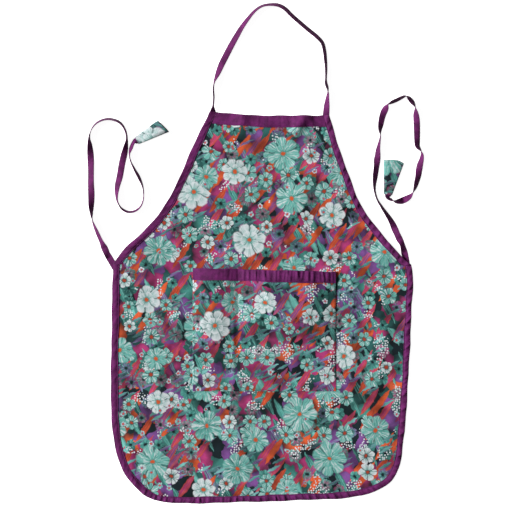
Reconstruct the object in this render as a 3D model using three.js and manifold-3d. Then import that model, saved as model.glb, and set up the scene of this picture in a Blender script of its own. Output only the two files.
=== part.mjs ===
// A bib apron lying face up on a flat surface: a printed cotton panel with a wide patch pocket,
// its edges bound in folded plain tape, a neck strap sewn to the bib's corners and two waist ties
// that end in little cloth cones.
// Millimetres, +Z up. The origin is on the surface, under the middle of the waist, +Y runs to the bib.
import * as THREE from "three";
import { mergeVertices } from "three/addons/utils/BufferGeometryUtils.js";
import Module from "manifold-3d";

const wasm = await Module();
wasm.setup();

// Driving dimensions
const CLOTH = 1.0; // printed cotton, panel and pocket
const TAPE = 1.0; // one leaf of the folded tape
const GAP = 0.3; // clearance between pieces that are sewn together
const FOLD = TAPE + GAP; // how far a binding stands off the cloth that it wraps, on every side
const BINDING_WIDTH = 16; // tape along the armholes and the skirt
const BAND_WIDTH = 26; // deeper tape on the bib's top and on the pocket's mouth
const STRAP_WIDTH = 14.5; // neck strap and ties, lying flat
const STRAP_THICKNESS = 1.6; // the same tape folded and sewn shut
const TIE_TUCK = STRAP_THICKNESS + 2 * GAP; // room under a waist corner for the end of a tie
const CONE_WALL = 1.0; // cloth of the cones on the ties
const GRID = 29; // spacing of the points that carry the cloth's relief
const EDGE_STEP = 22; // spacing of the points along a finished edge
const STRAP_STEP = 9; // spacing of the sections along a strap
const CONE_SIDES = 14;
const OVERRUN = 40; // how far a cutting strip runs on past the end of its edge
const PRISM = { floor: -20, height: 80 }; // taller than anything that a prism cuts
const FLAT_BELOW = 0.02; // less relief than this is left flat
const CREST_SHARE = 0.35; // share of a fold's half length that has its full height
const EDGE_REST = { flat: 42, inside: 105 }; // from the edge, where the panel comes down to the surface
const CORNER_RISE = { flat: 48, inside: 120 }; // from a waist corner, where it comes down again
const BAND_RISE = { from: 0.6, to: 0.86 }; // shares of the pocket's height where it rises for its band
const BULGE_FULL = 0.8; // share of the pocket's height where its bulge is whole
const ROOT_SECTIONS = 4; // sections over which a strap's raised end comes down to the surface

const PRINT_COLOUR = 0x5f8f8a;
const TAPE_COLOUR = 0x6e2266;

// Rows of numbers as objects with named columns.
function table(columns, rows) {
  return rows.map((row) => Object.fromEntries(columns.map((name, i) => [name, row[i]])));
}

// Finished edges, each a smooth curve through its rows.
// Together they run once round the apron, anticlockwise.
const RIGHT_ARMHOLE = table(
  ["x", "y"],
  [
    [329, -6],
    [294, 27],
    [250, 80],
    [215, 133],
    [188, 202],
    [164, 273],
    [149, 323],
  ],
);
const BIB_TOP = table(
  ["x", "y"],
  [
    [149, 323],
    [40, 322],
    [-50, 325],
    [-114, 331],
  ],
);
const LEFT_ARMHOLE = table(
  ["x", "y"],
  [
    [-114, 331],
    [-150, 256],
    [-189, 168],
    [-218, 116],
    [-256, 72],
    [-300, 30],
    [-327, -5],
  ],
);
const SKIRT = table(
  ["x", "y"],
  [
    [-327, -5],
    [-329, -110],
    [-331, -230],
    [-330, -345],
    [-315, -435],
    [-289, -482],
    [-247, -518],
    [-190, -530],
    [-48, -528],
    [128, -522],
    [205, -516],
    [262, -499],
    [298, -462],
    [312, -398],
    [322, -270],
    [330, -110],
    [333, -40],
    [329, -6],
  ],
);

// Soft folds of the panel: the middle of each crest, the way it runs, its half length, half width and height.
const FOLDS = table(
  ["x", "y", "heading", "reach", "spread", "height"],
  [
    [-255, 0, -38, 95, 26, 3.4],
    [254, 12, 215, 90, 26, 3.8],
    [-228, -320, 94, 150, 28, 2.8],
    [235, -300, 84, 160, 28, 3.0],
    [-70, -420, 80, 105, 32, 2.6],
    [95, -425, 104, 95, 30, 2.8],
    [-60, 190, 118, 110, 30, 2.6],
    [95, 170, 66, 120, 30, 3.0],
  ],
);

// The pocket's corners, and its compartments between the side seams and the one sewn divider.
const POCKET = { left: -151, right: 163, mouthLeft: -13, mouthRight: -21, bottom: -284, divider: -52 };
const COMPARTMENTS = table(
  ["left", "right", "bulge"],
  [
    [POCKET.left, POCKET.divider, 9],
    [POCKET.divider, POCKET.right, 11],
  ],
);

// Straps as they lie: points along the middle, and how far the tape is turned about its length,
// from flat at 0 to standing on an edge at 90. A positive turn raises the edge on the left of the way along.
const NECK_STRAP = table(
  ["x", "y", "turn"],
  [
    [-106.5, 330.5, -150],
    [-106.2, 335, -132],
    [-106, 340, -112],
    [-105.4, 349, -106],
    [-104.4, 362, -107],
    [-105.6, 382, -100],
    [-103.4, 395, -80],
    [-96, 414, -40],
    [-88, 434, -14],
    [-78, 454, -6],
    [-67, 475, -14],
    [-55.5, 495, -26],
    [-43.5, 515, -40],
    [-29.5, 534, -52],
    [-14, 552, -60],
    [1, 562, -62],
    [19, 565.5, -58],
    [38, 564, -46],
    [52, 556, -40],
    [65, 543, -40],
    [84.5, 525.5, -38],
    [105, 508, -38],
    [121, 495, -40],
    [133.4, 481, -46],
    [138.6, 462, -54],
    [140.6, 444, -60],
    [142, 424, -68],
    [141.5, 401, -80],
    [142, 392, -74],
    [145, 381, -78],
    [145.5, 370.5, -94],
    [144.2, 356, -124],
    [143, 340, -152],
    [142, 323.8, -180],
  ],
);
const LEFT_TIE = table(
  ["x", "y", "turn"],
  [
    [-321, -14, 0],
    [-331, 3, 0],
    [-334.5, 9, 0],
    [-339, 17, 28],
    [-344, 28, 6],
    [-350, 41, -42],
    [-361, 65, -56],
    [-371, 90, -80],
    [-373, 104, -104],
    [-374, 122, -138],
    [-374, 143, -164],
    [-375, 172, -194],
    [-375, 206, -196],
    [-376, 238, -162],
    [-377, 256, -132],
    [-378, 272, -98],
    [-374, 290, -80],
    [-361, 306, -72],
    [-337, 314, -68],
    [-313, 307, -70],
    [-300, 290, -80],
    [-296, 270, -80],
    [-298, 252, -46],
    [-302, 236, -16],
    [-307, 215, -3],
    [-311.5, 189, 8],
    [-317, 165, 34],
    [-318, 146, 62],
    [-315, 130, 80],
    [-306, 117, 102],
    [-291, 110, 108],
    [-275, 114, 108],
    [-264, 125, 102],
    [-259, 143, 95],
    [-261, 165, 84],
    [-269, 186, 68],
    [-279, 204, 76],
    [-287, 220, 88],
    [-290, 235, 98],
    [-287.2, 248.5, 126],
  ],
);
const RIGHT_TIE = table(
  ["x", "y", "turn"],
  [
    [320, -13, 0],
    [318, 3, 0],
    [316.2, 12, 0],
    [314.6, 19.5, 0],
    [312, 29, 26],
    [308.5, 40, 34],
    [298.5, 60, -24],
    [286, 88, 30],
    [264, 121, 64],
    [254, 137, 72],
    [248.5, 156, 70],
    [248, 172, 56],
    [250, 191, 34],
    [253, 213, 24],
    [255, 233, -30],
    [256, 249, -58],
    [259, 264, -78],
    [261, 277, -92],
    [260, 289, -122],
    [262, 303, -150],
    [266, 321, -166],
    [272, 336, -190],
    [277, 345.5, -246],
    [286, 351.5, -290],
    [295, 356.5, -300],
    [311, 363.5, -318],
    [321.5, 363, -362],
    [331, 352, -396],
    [337, 341, -436],
    [339, 325, -496],
    [341, 310, -524],
    [342, 290, -546],
    [342, 268, -562],
    [343, 254, -580],
    [349, 245, -610],
    [352, 236, -646],
    [351.5, 227, -664],
    [348.5, 215, -690],
    [346.5, 203, -714],
    [344.5, 189, -742],
    [341, 176, -756],
    [337, 163, -776],
    [332, 152, -810],
    [324, 143, -858],
    [313, 136.5, -893],
    [304, 133.5, -930],
    [294, 133, -966],
    [286, 136, -1012],
  ],
);

// The cones: where the tie goes in and how it is turned there, the way the mouth points, the length,
// the mouth's half sizes, and how far its rim leans along the cone from side to side and from foot to top.
const CONES = table(
  ["side", "x", "y", "turn", "heading", "length", "mouthAcross", "mouthUp", "leanAcross", "leanUp"],
  [
    ["left", -274, 267, 180, 28, 66, 17, 8, 5, 2.5],
    ["right", 278, 148, -1080, 80, 73, 22.5, 4.2, 0, 1],
  ],
);
const CONE_ROOM = 0.8; // between the tie and the inside of the neck
const CONE_NECK = {
  across: STRAP_WIDTH / 2 + CONE_ROOM + CONE_WALL,
  up: STRAP_THICKNESS / 2 + CONE_ROOM + CONE_WALL,
  square: 0.35, // 1 would be an oval, and nearer 0 is squarer
};
const CONE_SECTIONS = [0, 0.12, 0.35, 0.65, 1]; // shares of the length
const CONE_TUCK = [-6.5, -1.5, 4]; // the tie's last points, along the cone's axis from its neck

// Small helpers

function smoothstep(low, high, value) {
  return THREE.MathUtils.smoothstep(value, low, high);
}

// A smooth finished edge, as evenly spaced points.
function edge(rows) {
  const curve = new THREE.SplineCurve(rows.map((row) => new THREE.Vector2(row.x, row.y)));
  return curve.getSpacedPoints(Math.ceil(curve.getLength() / EDGE_STEP));
}

// The line moved sideways by a distance, to the left of its way along where that is positive.
// A closed line keeps its corners sharp.
function offset(points, distance, closed) {
  const last = points.length - 1;
  const heading = (i) => points[(i + 1) % points.length].clone().sub(points[i]).normalize();
  return points.map((point, i) => {
    const outgoing = closed || i < last ? heading(i) : heading(last - 1);
    const incoming = closed || i > 0 ? heading((i + last) % points.length) : outgoing;
    const bisector = incoming.clone().add(outgoing).normalize();
    const side = new THREE.Vector2(-bisector.y, bisector.x);
    return point.clone().addScaledVector(side, distance / bisector.dot(outgoing));
  });
}

// An edge carried straight on past both its ends.
function lengthened(points) {
  const past = (end, inner) => end.clone().sub(inner).setLength(OVERRUN).add(end);
  return [past(points[0], points[1]), ...points, past(points.at(-1), points.at(-2))];
}

// The outline of a strip along an edge, from a little outside it to its width inside it.
function strip(points, width) {
  return [...offset(points, -FOLD, false), ...offset(points, width, false).reverse()];
}

// Solids

// A closed geometry, with its doubled vertices merged, as a solid that can be joined and cut.
function solid(geometry) {
  const bare = geometry.clone();
  bare.deleteAttribute("normal");
  bare.deleteAttribute("uv");
  const merged = mergeVertices(bare, 1e-4);
  const vertProperties = new Float32Array(merged.attributes.position.array);
  const triVerts = new Uint32Array(merged.index.array);
  return new wasm.Manifold(new wasm.Mesh({ numProp: 3, vertProperties, triVerts }));
}

function geometryOf(made) {
  const mesh = made.getMesh();
  const geometry = new THREE.BufferGeometry();
  geometry.setAttribute("position", new THREE.BufferAttribute(mesh.vertProperties, 3));
  geometry.setIndex(new THREE.BufferAttribute(mesh.triVerts, 1));
  return geometry.toNonIndexed();
}

// An upright prism on an outline.
function prism(points) {
  const settings = { depth: PRISM.height, bevelEnabled: false };
  const geometry = new THREE.ExtrudeGeometry(new THREE.Shape(points), settings);
  return solid(geometry.translate(0, 0, PRISM.floor));
}

// A closed geometry from rings of points that follow each other, with both ends covered.
// Where inner rings are given, the body is a tube open at both ends.
function loft(outer, inner) {
  const count = outer[0].length;
  const rings = inner ? [...outer, ...inner.slice().reverse()] : outer;
  const positions = rings.flat().flatMap((point) => [point.x, point.y, point.z]);
  const index = [];
  const quad = (a, b, c, d) => index.push(a, b, c, a, c, d);
  const spans = inner ? rings.length : rings.length - 1;
  for (let ring = 0; ring < spans; ring += 1) {
    const next = (ring + 1) % rings.length;
    for (let i = 0; i < count; i += 1) {
      const j = (i + 1) % count;
      quad(ring * count + i, ring * count + j, next * count + j, next * count + i);
    }
  }
  if (!inner) {
    const far = (rings.length - 1) * count;
    for (let i = 1; i < count - 1; i += 1) {
      index.push(0, i + 1, i, far, far + i, far + i + 1);
    }
  }
  const geometry = new THREE.BufferGeometry();
  geometry.setAttribute("position", new THREE.Float32BufferAttribute(positions, 3));
  geometry.setIndex(index);
  return geometry;
}

// The finished outline and the edges that make it

const edges = {
  rightArmhole: edge(RIGHT_ARMHOLE),
  bibTop: edge(BIB_TOP),
  leftArmhole: edge(LEFT_ARMHOLE),
  skirt: edge(SKIRT),
};
const outline = Object.values(edges).flatMap((points) => points.slice(0, -1));
const waistCorners = [edges.leftArmhole.at(-1), edges.rightArmhole[0]];

// The underside of the panel: it rests on the surface inside, lies on its binding's back leaf
// along the edges, rises over the ends of the ties at the waist corners, and has a few soft folds.
function reliefAt(x, y) {
  const here = new THREE.Vector2(x, y);
  const toEdge = Math.min(...outline.map((point) => point.distanceTo(here)));
  const outside = !insideOutline(here);
  let height = FOLD * (outside ? 1 : 1 - smoothstep(EDGE_REST.flat, EDGE_REST.inside, toEdge));
  for (const corner of waistCorners) {
    height += TIE_TUCK * (1 - smoothstep(CORNER_RISE.flat, CORNER_RISE.inside, corner.distanceTo(here)));
  }
  for (const fold of FOLDS) {
    const heading = THREE.MathUtils.degToRad(fold.heading);
    const along = (x - fold.x) * Math.cos(heading) + (y - fold.y) * Math.sin(heading);
    const across = (y - fold.y) * Math.cos(heading) - (x - fold.x) * Math.sin(heading);
    const fade = 1 - smoothstep(CREST_SHARE * fold.reach, fold.reach, Math.abs(along));
    height += fold.height * fade * Math.exp(-((across / fold.spread) ** 2));
  }
  return height > FLAT_BELOW ? height : 0;
}

function insideOutline(point) {
  let inside = false;
  outline.forEach((a, i) => {
    const b = outline[(i + 1) % outline.length];
    const crosses = a.y > point.y !== b.y > point.y;
    if (crosses && point.x < a.x + ((point.y - a.y) / (b.y - a.y)) * (b.x - a.x)) inside = !inside;
  });
  return inside;
}

// The underside of the pocket: close to the panel at its seams, and raised in the middle of each compartment
// and towards its mouth.
function pocketAt(x, y) {
  const up = (y - POCKET.bottom) / (POCKET.mouthRight - POCKET.bottom);
  let height = CLOTH + GAP + (FOLD + GAP) * smoothstep(BAND_RISE.from, BAND_RISE.to, up);
  for (const { left, right, bulge } of COMPARTMENTS) {
    const across = THREE.MathUtils.clamp((x - left) / (right - left), 0, 1);
    height += bulge * Math.sin(Math.PI * across) * smoothstep(0, BULGE_FULL, up);
  }
  return height;
}

// Numbers from one to another, evenly spaced and at most a step apart.
function spaced(from, to, step) {
  const count = Math.ceil((to - from) / step);
  return Array.from({ length: count + 1 }, (_, i) => from + ((to - from) * i) / count);
}

// The underside of a cloth as a grid of heights. Every layer on one grid follows the same facets.
function grid(xs, ys, heightAt) {
  const points = ys.flatMap((y) => xs.map((x) => new THREE.Vector3(x, y, heightAt(x, y))));
  return { columns: xs.length - 1, rows: ys.length - 1, points };
}

const reach = new THREE.Box2().setFromPoints(outline).expandByScalar(GRID / 2);
const panelGrid = grid(
  spaced(reach.min.x, reach.max.x, GRID),
  spaced(reach.min.y, reach.max.y, GRID),
  reliefAt,
);
const pocketGrid = grid(
  [
    POCKET.left - OVERRUN,
    ...spaced(POCKET.left, POCKET.divider, GRID),
    ...spaced(POCKET.divider, POCKET.right, GRID).slice(1),
    POCKET.right + OVERRUN,
  ],
  spaced(POCKET.bottom - GRID, POCKET.mouthLeft + GRID, GRID),
  pocketAt,
);

// A layer over a whole grid, between two heights above the underside of its cloth.
function layer({ columns, rows, points }, low, high) {
  const positions = [low, high].flatMap((height) => points.flatMap(({ x, y, z }) => [x, y, z + height]));
  const index = [];
  const bottom = (row, column) => row * (columns + 1) + column;
  const top = (row, column) => points.length + bottom(row, column);
  const quad = (a, b, c, d) => index.push(a, b, c, a, c, d);
  for (let row = 0; row < rows; row += 1) {
    for (let column = 0; column < columns; column += 1) {
      const corners = [[row, column], [row, column + 1], [row + 1, column + 1], [row + 1, column]];
      quad(...corners.map((corner) => top(...corner)));
      const [a, b, c, d] = corners.map((corner) => bottom(...corner));
      index.push(a, c, b, a, d, c);
    }
  }
  const wall = (a, b) => quad(bottom(...a), bottom(...b), top(...b), top(...a));
  for (let column = 0; column < columns; column += 1) {
    wall([0, column], [0, column + 1]);
    wall([rows, column + 1], [rows, column]);
  }
  for (let row = 0; row < rows; row += 1) {
    wall([row + 1, 0], [row, 0]);
    wall([row, columns], [row + 1, columns]);
  }
  const geometry = new THREE.BufferGeometry();
  geometry.setAttribute("position", new THREE.Float32BufferAttribute(positions, 3));
  geometry.setIndex(index);
  return solid(geometry);
}

// Tape wrapped round a cloth: a shell that stands off both its faces and its edge, open only where it is cut.
function wrap(cloth, finished) {
  const outside = layer(cloth, -FOLD, CLOTH + FOLD).intersect(prism(finished));
  const hollow = layer(cloth, -GAP, CLOTH + GAP).intersect(prism(offset(finished, TAPE, true)));
  return outside.subtract(hollow);
}

// Panel and bindings

const panel = layer(panelGrid, 0, CLOTH).intersect(prism(offset(outline, FOLD, true)));
const tapeShell = wrap(panelGrid, outline);
const skirtStrip = strip(edges.skirt, BINDING_WIDTH);
const clearOfSkirt = prism(offset(skirtStrip, -GAP, true));
const armholeStrips = [edges.leftArmhole, edges.rightArmhole].map((points) =>
  strip(lengthened(points), BINDING_WIDTH),
);
const clearOfArmholes = armholeStrips.map((points) => prism(offset(points, -GAP, true)));

const skirtBinding = tapeShell.intersect(prism(skirtStrip));
const [leftArmholeBinding, rightArmholeBinding] = armholeStrips.map((points) =>
  tapeShell.intersect(prism(points)).subtract(clearOfSkirt),
);
const bibBand = clearOfArmholes.reduce(
  (band, cut) => band.subtract(cut),
  tapeShell.intersect(prism(strip(lengthened(edges.bibTop), BAND_WIDTH))),
);

// Pocket and its band

const pocketMouth = [
  new THREE.Vector2(POCKET.right, POCKET.mouthRight),
  new THREE.Vector2(POCKET.left, POCKET.mouthLeft),
];
const pocketFoot = [
  new THREE.Vector2(POCKET.left, POCKET.bottom),
  new THREE.Vector2(POCKET.right, POCKET.bottom),
];
const pocketPanel = layer(pocketGrid, 0, CLOTH).intersect(
  prism([...offset(pocketMouth, FOLD, false), ...pocketFoot]),
);

// The band wraps the mouth alone, so its shell reaches past the pocket's sides and is trimmed to them.
const wideFoot = lengthened(pocketFoot);
const pocketShell = wrap(pocketGrid, [...lengthened(pocketMouth), wideFoot[0], wideFoot.at(-1)]);
const pocketBand = pocketShell
  .intersect(prism(strip(pocketMouth, BAND_WIDTH)))
  .intersect(prism([...pocketMouth, ...pocketFoot]));

// Straps, ties and cones

// Sections of a strap along its rows: where its middle is, how it is turned and which way it goes.
function strapSections(stations) {
  const curve = (height) =>
    new THREE.CatmullRomCurve3(stations.map((row) => new THREE.Vector3(row.x, row.y, height(row))));
  const plan = curve(() => 0);
  const turning = curve((row) => row.turn);
  const count = Math.ceil(plan.getLength() / STRAP_STEP);
  return Array.from({ length: count + 1 }, (_, i) => {
    const along = plan.getUtoTmapping(i / count);
    const turn = THREE.MathUtils.degToRad(turning.getPoint(along).z);
    return { middle: plan.getPoint(along), turn, way: plan.getTangent(along) };
  });
}

// A strap that rests on the surface, apart from its ends, which may be raised to what holds them.
function strapGeometry(stations, startLift, endLift) {
  const sections = strapSections(stations);
  const last = sections.length - 1;
  const raised = (lift, fromEnd) => lift * (1 - smoothstep(0, ROOT_SECTIONS, fromEnd));
  const rings = sections.map(({ middle, turn, way }, i) => {
    const side = new THREE.Vector3(-way.y * Math.cos(turn), way.x * Math.cos(turn), Math.sin(turn));
    const face = new THREE.Vector3().crossVectors(way, side);
    const rest = (Math.abs(Math.sin(turn)) * STRAP_WIDTH + Math.abs(Math.cos(turn)) * STRAP_THICKNESS) / 2;
    middle.z = rest + raised(startLift, i) + raised(endLift, last - i);
    const corner = (across, up) =>
      middle
        .clone()
        .addScaledVector(side, (across * STRAP_WIDTH) / 2)
        .addScaledVector(face, (up * STRAP_THICKNESS) / 2);
    return [corner(1, -1), corner(1, 1), corner(-1, 1), corner(-1, -1)];
  });
  return loft(rings);
}

function coneWay(heading) {
  const angle = THREE.MathUtils.degToRad(heading);
  return new THREE.Vector3(Math.cos(angle), Math.sin(angle), 0);
}

// A tie's rows with its end carried into the neck of its cone.
function intoCone(stations, { x, y, turn, heading }) {
  const way = coneWay(heading);
  return [...stations, ...CONE_TUCK.map((along) => ({ x: x + along * way.x, y: y + along * way.y, turn }))];
}

// A cloth cone, open at its neck for the tie and at its mouth, with every section resting on the surface.
function coneGeometry({ x, y, heading, length, mouthAcross, mouthUp, leanAcross, leanUp }) {
  const way = coneWay(heading);
  const side = new THREE.Vector3(-way.y, way.x, 0);
  const power = (value, exponent) => Math.sign(value) * Math.abs(value) ** exponent;
  const ring = (share, wall) => {
    const across = THREE.MathUtils.lerp(CONE_NECK.across, mouthAcross, share);
    const up = THREE.MathUtils.lerp(CONE_NECK.up, mouthUp, smoothstep(0, 1, share));
    const square = THREE.MathUtils.lerp(CONE_NECK.square, 1, smoothstep(0, 1, share));
    return Array.from({ length: CONE_SIDES }, (_, i) => {
      const angle = (2 * Math.PI * i) / CONE_SIDES;
      return new THREE.Vector3(x, y, up + (up - wall) * power(Math.sin(angle), square))
        .addScaledVector(way, share * (length - leanAcross * Math.cos(angle) - leanUp * Math.sin(angle)))
        .addScaledVector(side, (across - wall) * power(Math.cos(angle), square));
    });
  };
  return loft(
    CONE_SECTIONS.map((share) => ring(share, 0)),
    CONE_SECTIONS.map((share) => ring(share, CONE_WALL)),
  );
}

// The assembly

const printedCotton = new THREE.MeshStandardMaterial({ color: PRINT_COLOUR, roughness: 0.9, metalness: 0 });
const plainTape = new THREE.MeshStandardMaterial({ color: TAPE_COLOUR, roughness: 0.75, metalness: 0 });

const apron = new THREE.Group();
function add(name, geometry, material) {
  const mesh = new THREE.Mesh(geometry, material);
  mesh.name = name;
  apron.add(mesh);
}

const NECK_LIFT = FOLD + CLOTH / 2 - STRAP_THICKNESS / 2; // to the middle of the bib's bound edge
const CONE_LIFT = CONE_NECK.up - STRAP_THICKNESS / 2; // to the middle of a cone's neck
const TIES = { left: LEFT_TIE, right: RIGHT_TIE };
add("body_panel", geometryOf(panel), printedCotton);
add("bib_band", geometryOf(bibBand), plainTape);
add("armhole_binding_left", geometryOf(leftArmholeBinding), plainTape);
add("armhole_binding_right", geometryOf(rightArmholeBinding), plainTape);
add("skirt_binding", geometryOf(skirtBinding), plainTape);
add("pocket_panel", geometryOf(pocketPanel), printedCotton);
add("pocket_band", geometryOf(pocketBand), plainTape);
add("neck_strap", strapGeometry(NECK_STRAP, NECK_LIFT, NECK_LIFT), plainTape);
for (const cone of CONES) {
  const tie = intoCone(TIES[cone.side], cone);
  add(`tie_${cone.side}`, strapGeometry(tie, 0, CONE_LIFT), plainTape);
  add(`tie_cone_${cone.side}`, coneGeometry(cone), printedCotton);
}

export default apron;
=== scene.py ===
"""Looks of a bib apron that lies face up: a printed cotton panel and pocket bound in plain purple tape,
a neck strap, and two waist ties that end in little cloth cones."""

import math
from collections import namedtuple

import bmesh
import bpy
import numpy as np
from bpy.props import FloatProperty, FloatVectorProperty, PointerProperty
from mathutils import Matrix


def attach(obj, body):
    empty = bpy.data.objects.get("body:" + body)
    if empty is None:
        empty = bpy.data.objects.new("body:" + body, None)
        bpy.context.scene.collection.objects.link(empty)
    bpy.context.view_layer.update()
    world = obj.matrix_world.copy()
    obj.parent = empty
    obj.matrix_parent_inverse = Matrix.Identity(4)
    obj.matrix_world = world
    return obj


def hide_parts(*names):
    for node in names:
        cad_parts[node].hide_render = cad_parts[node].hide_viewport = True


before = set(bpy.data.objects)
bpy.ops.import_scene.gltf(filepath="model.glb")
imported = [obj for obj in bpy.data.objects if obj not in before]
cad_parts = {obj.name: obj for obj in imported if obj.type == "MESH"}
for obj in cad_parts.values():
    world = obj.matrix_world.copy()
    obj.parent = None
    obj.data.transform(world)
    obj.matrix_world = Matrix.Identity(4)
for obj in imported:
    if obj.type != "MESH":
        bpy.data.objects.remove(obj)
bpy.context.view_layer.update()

bl_info = {
    "name": "Bib Apron",
    "version": (1, 0, 0),
    "blender": (4, 5, 0),
    "location": "View3D > Sidebar > Apron",
    "description": "Dresses the solids of a bib apron as sewn and printed cotton",
    "category": "Object",
}

BODY = "root"
PRINT_SLOT = "printed_cotton"
TAPE_SLOT = "plain_tape"
CUT_MAP = "Cut"  # UV map that holds each point's place on the flat cloth, in metres
STITCH_TREE = "Apron stitches"
MM = 0.001  # a millimetre in metres

# As in the solids, in millimetres
CLOTH = 1.0
TAPE = 1.0
GAP = 0.3
FOLD = TAPE + GAP
BINDING_WIDTH = 16.0
BAND_WIDTH = 26.0
STRAP_WIDTH = 14.5
STRAP_THICKNESS = 1.6
TIE_TUCK = STRAP_THICKNESS + 2 * GAP
EDGE_REST = (42.0, 105.0)  # from the edge, where the panel comes down to the surface
CORNER_RISE = (48.0, 120.0)  # from a waist corner, where it comes down again
ROOT_LENGTH = 36.0  # over which a strap's raised end comes down to the surface
# Shares, also as in the solids
CREST_SHARE = 0.35  # of a crest's half length that has its full height
BAND_RISE = (0.6, 0.86)  # of the pocket's height, where it rises for its band
BULGE_FULL = 0.8  # of the pocket's height, where its bulge is whole

# Finished edges as points x, y that a smooth curve passes through, once round the apron, anticlockwise
RIGHT_ARMHOLE = [(329, -6), (294, 27), (250, 80), (215, 133), (188, 202), (164, 273), (149, 323)]
BIB_TOP = [(149, 323), (40, 322), (-50, 325), (-114, 331)]
LEFT_ARMHOLE = [(-114, 331), (-150, 256), (-189, 168), (-218, 116), (-256, 72), (-300, 30), (-327, -5)]
SKIRT = [
    (-327, -5), (-329, -110), (-331, -230), (-330, -345), (-315, -435), (-289, -482), (-247, -518),
    (-190, -530), (-48, -528), (128, -522), (205, -516), (262, -499), (298, -462), (312, -398),
    (322, -270), (330, -110), (333, -40), (329, -6),
]
SKIRT_TURNS = [(-289, -482), (274, -490)]  # where the skirt's sides turn into its hem

# Soft folds of the panel, and finer creases of panel and pocket: the middle of each crest, the way it runs,
# its half length, half width and height
Crest = namedtuple("Crest", "x y heading reach spread height")
FOLDS = [
    Crest(-255, 0, -38, 95, 26, 3.4),
    Crest(254, 12, 215, 90, 26, 3.8),
    Crest(-228, -320, 94, 150, 28, 2.8),
    Crest(235, -300, 84, 160, 28, 3.0),
    Crest(-70, -420, 80, 105, 32, 2.6),
    Crest(95, -425, 104, 95, 30, 2.8),
    Crest(-60, 190, 118, 110, 30, 2.6),
    Crest(95, 170, 66, 120, 30, 3.0),
]
PANEL_CREASES = [
    Crest(92, 232, 52, 72, 9, 1.6),
    Crest(60, 195, 50, 60, 8, 0.9),
    Crest(-33, -468, 88, 42, 6, 1.2),
    Crest(-215, -485, 62, 40, 6, 1.0),
    Crest(-178, -500, 78, 32, 5, 0.9),
    Crest(-220, -508, 78, 26, 4.5, 2.4),
    Crest(-275, -455, 40, 38, 6, 1.0),
    Crest(150, -350, 6, 70, 7, 0.9),
    Crest(255, -430, 122, 60, 8, 1.1),
    Crest(-262, -120, 96, 80, 9, 0.9),
    Crest(266, -110, 86, 80, 9, 0.9),
    Crest(-128, 210, 62, 60, 8, 0.9),
    Crest(20, 90, 4, 90, 9, 0.8),
    Crest(-117, 324, 64, 36, 8, 2.6),
    Crest(-42, 318, 88, 46, 16, 5.0),
    Crest(84, 302, 57, 60, 14, 8.0),
    Crest(-196, 161.5, 61, 76, 6, 3.6),
    Crest(-272, 46, 44, 48, 6, 2.0),
    Crest(-229, 100, 52, 34, 6, 0.8),
]
POCKET_CREASES = [
    Crest(-61, -188, 90, 100, 6, 3.8),
    Crest(-12, -190, 90, 40, 3.6, 1.7),
    Crest(14, -60, 92, 42, 5, 1.3),
    Crest(52, -70, 86, 50, 5, 1.1),
    Crest(118, -75, 95, 52, 6, 1.2),
    Crest(90, -150, 70, 70, 8, 0.8),
    Crest(-108, -90, 84, 60, 6, 0.8),
    Crest(-80, -215, 100, 50, 6, 0.7),
]

# The pocket's corners, and its compartments between the side seams and the one sewn divider
POCKET = {"left": -151, "right": 163, "mouth_left": -13, "mouth_right": -21, "bottom": -284, "divider": -52}
Compartment = namedtuple("Compartment", "left right bulge")
COMPARTMENTS = [
    Compartment(POCKET["left"], POCKET["divider"], 9),
    Compartment(POCKET["divider"], POCKET["right"], 11),
]
POCKET_CLEAR = (2.0, 26.0)  # from the pocket's edge, where the panel's creases begin and are whole
POCKET_WRINKLES = 0.7  # the pocket's share of the panel's wrinkles
POCKET_FOOT = 0.12  # share of the pocket's height that its foot seam keeps smooth

# Straps as they lie: points x, y along the middle, and the turn about the length in degrees
NECK_STRAP = [
    (-106.5, 330.5, -150), (-106.2, 335, -132), (-106, 340, -106), (-105.4, 349, -97),
    (-104.4, 362, -97), (-105.6, 382, -94), (-103.4, 395, -78), (-96, 414, -40), (-88, 434, -14),
    (-78, 454, -6), (-67, 475, -14), (-55.5, 495, -26), (-43.5, 515, -40), (-29.5, 534, -52),
    (-14, 552, -60), (1, 562, -62), (19, 565.5, -58), (38, 564, -50), (52, 556, -48), (65, 543, -49),
    (84.5, 525.5, -48), (105, 508, -48), (121, 495, -49), (133.4, 481, -52), (138.6, 462, -56),
    (140.6, 444, -60), (142, 424, -68), (141.5, 401, -74), (142, 392, -64), (145, 381, -68),
    (145.5, 370.5, -100), (144.2, 356, -124), (143, 340, -152), (142, 323.8, -180),
]
LEFT_TIE = [
    (-321, -14, 0), (-331, 3, 0), (-334.5, 9, 0), (-339, 17, 28), (-344, 28, 6), (-350, 41, -42),
    (-361, 65, -56), (-371, 90, -80), (-373, 104, -104), (-374, 122, -138), (-374, 143, -164),
    (-375, 172, -194), (-375, 206, -196), (-376, 238, -162), (-377, 256, -132), (-378, 272, -98),
    (-374, 290, -80), (-361, 306, -72), (-337, 314, -68), (-313, 307, -70), (-300, 290, -80),
    (-296, 270, -80), (-298, 252, -46), (-302, 236, -16), (-307, 215, -3), (-311.5, 189, 8),
    (-317, 165, 34), (-318, 146, 62), (-315, 130, 80), (-306, 117, 102), (-291, 110, 108),
    (-275, 114, 108), (-264, 125, 102), (-259, 143, 95), (-261, 165, 84), (-269, 186, 68),
    (-279, 204, 76), (-287, 220, 88), (-290, 235, 98), (-287.2, 248.5, 126),
]
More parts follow.
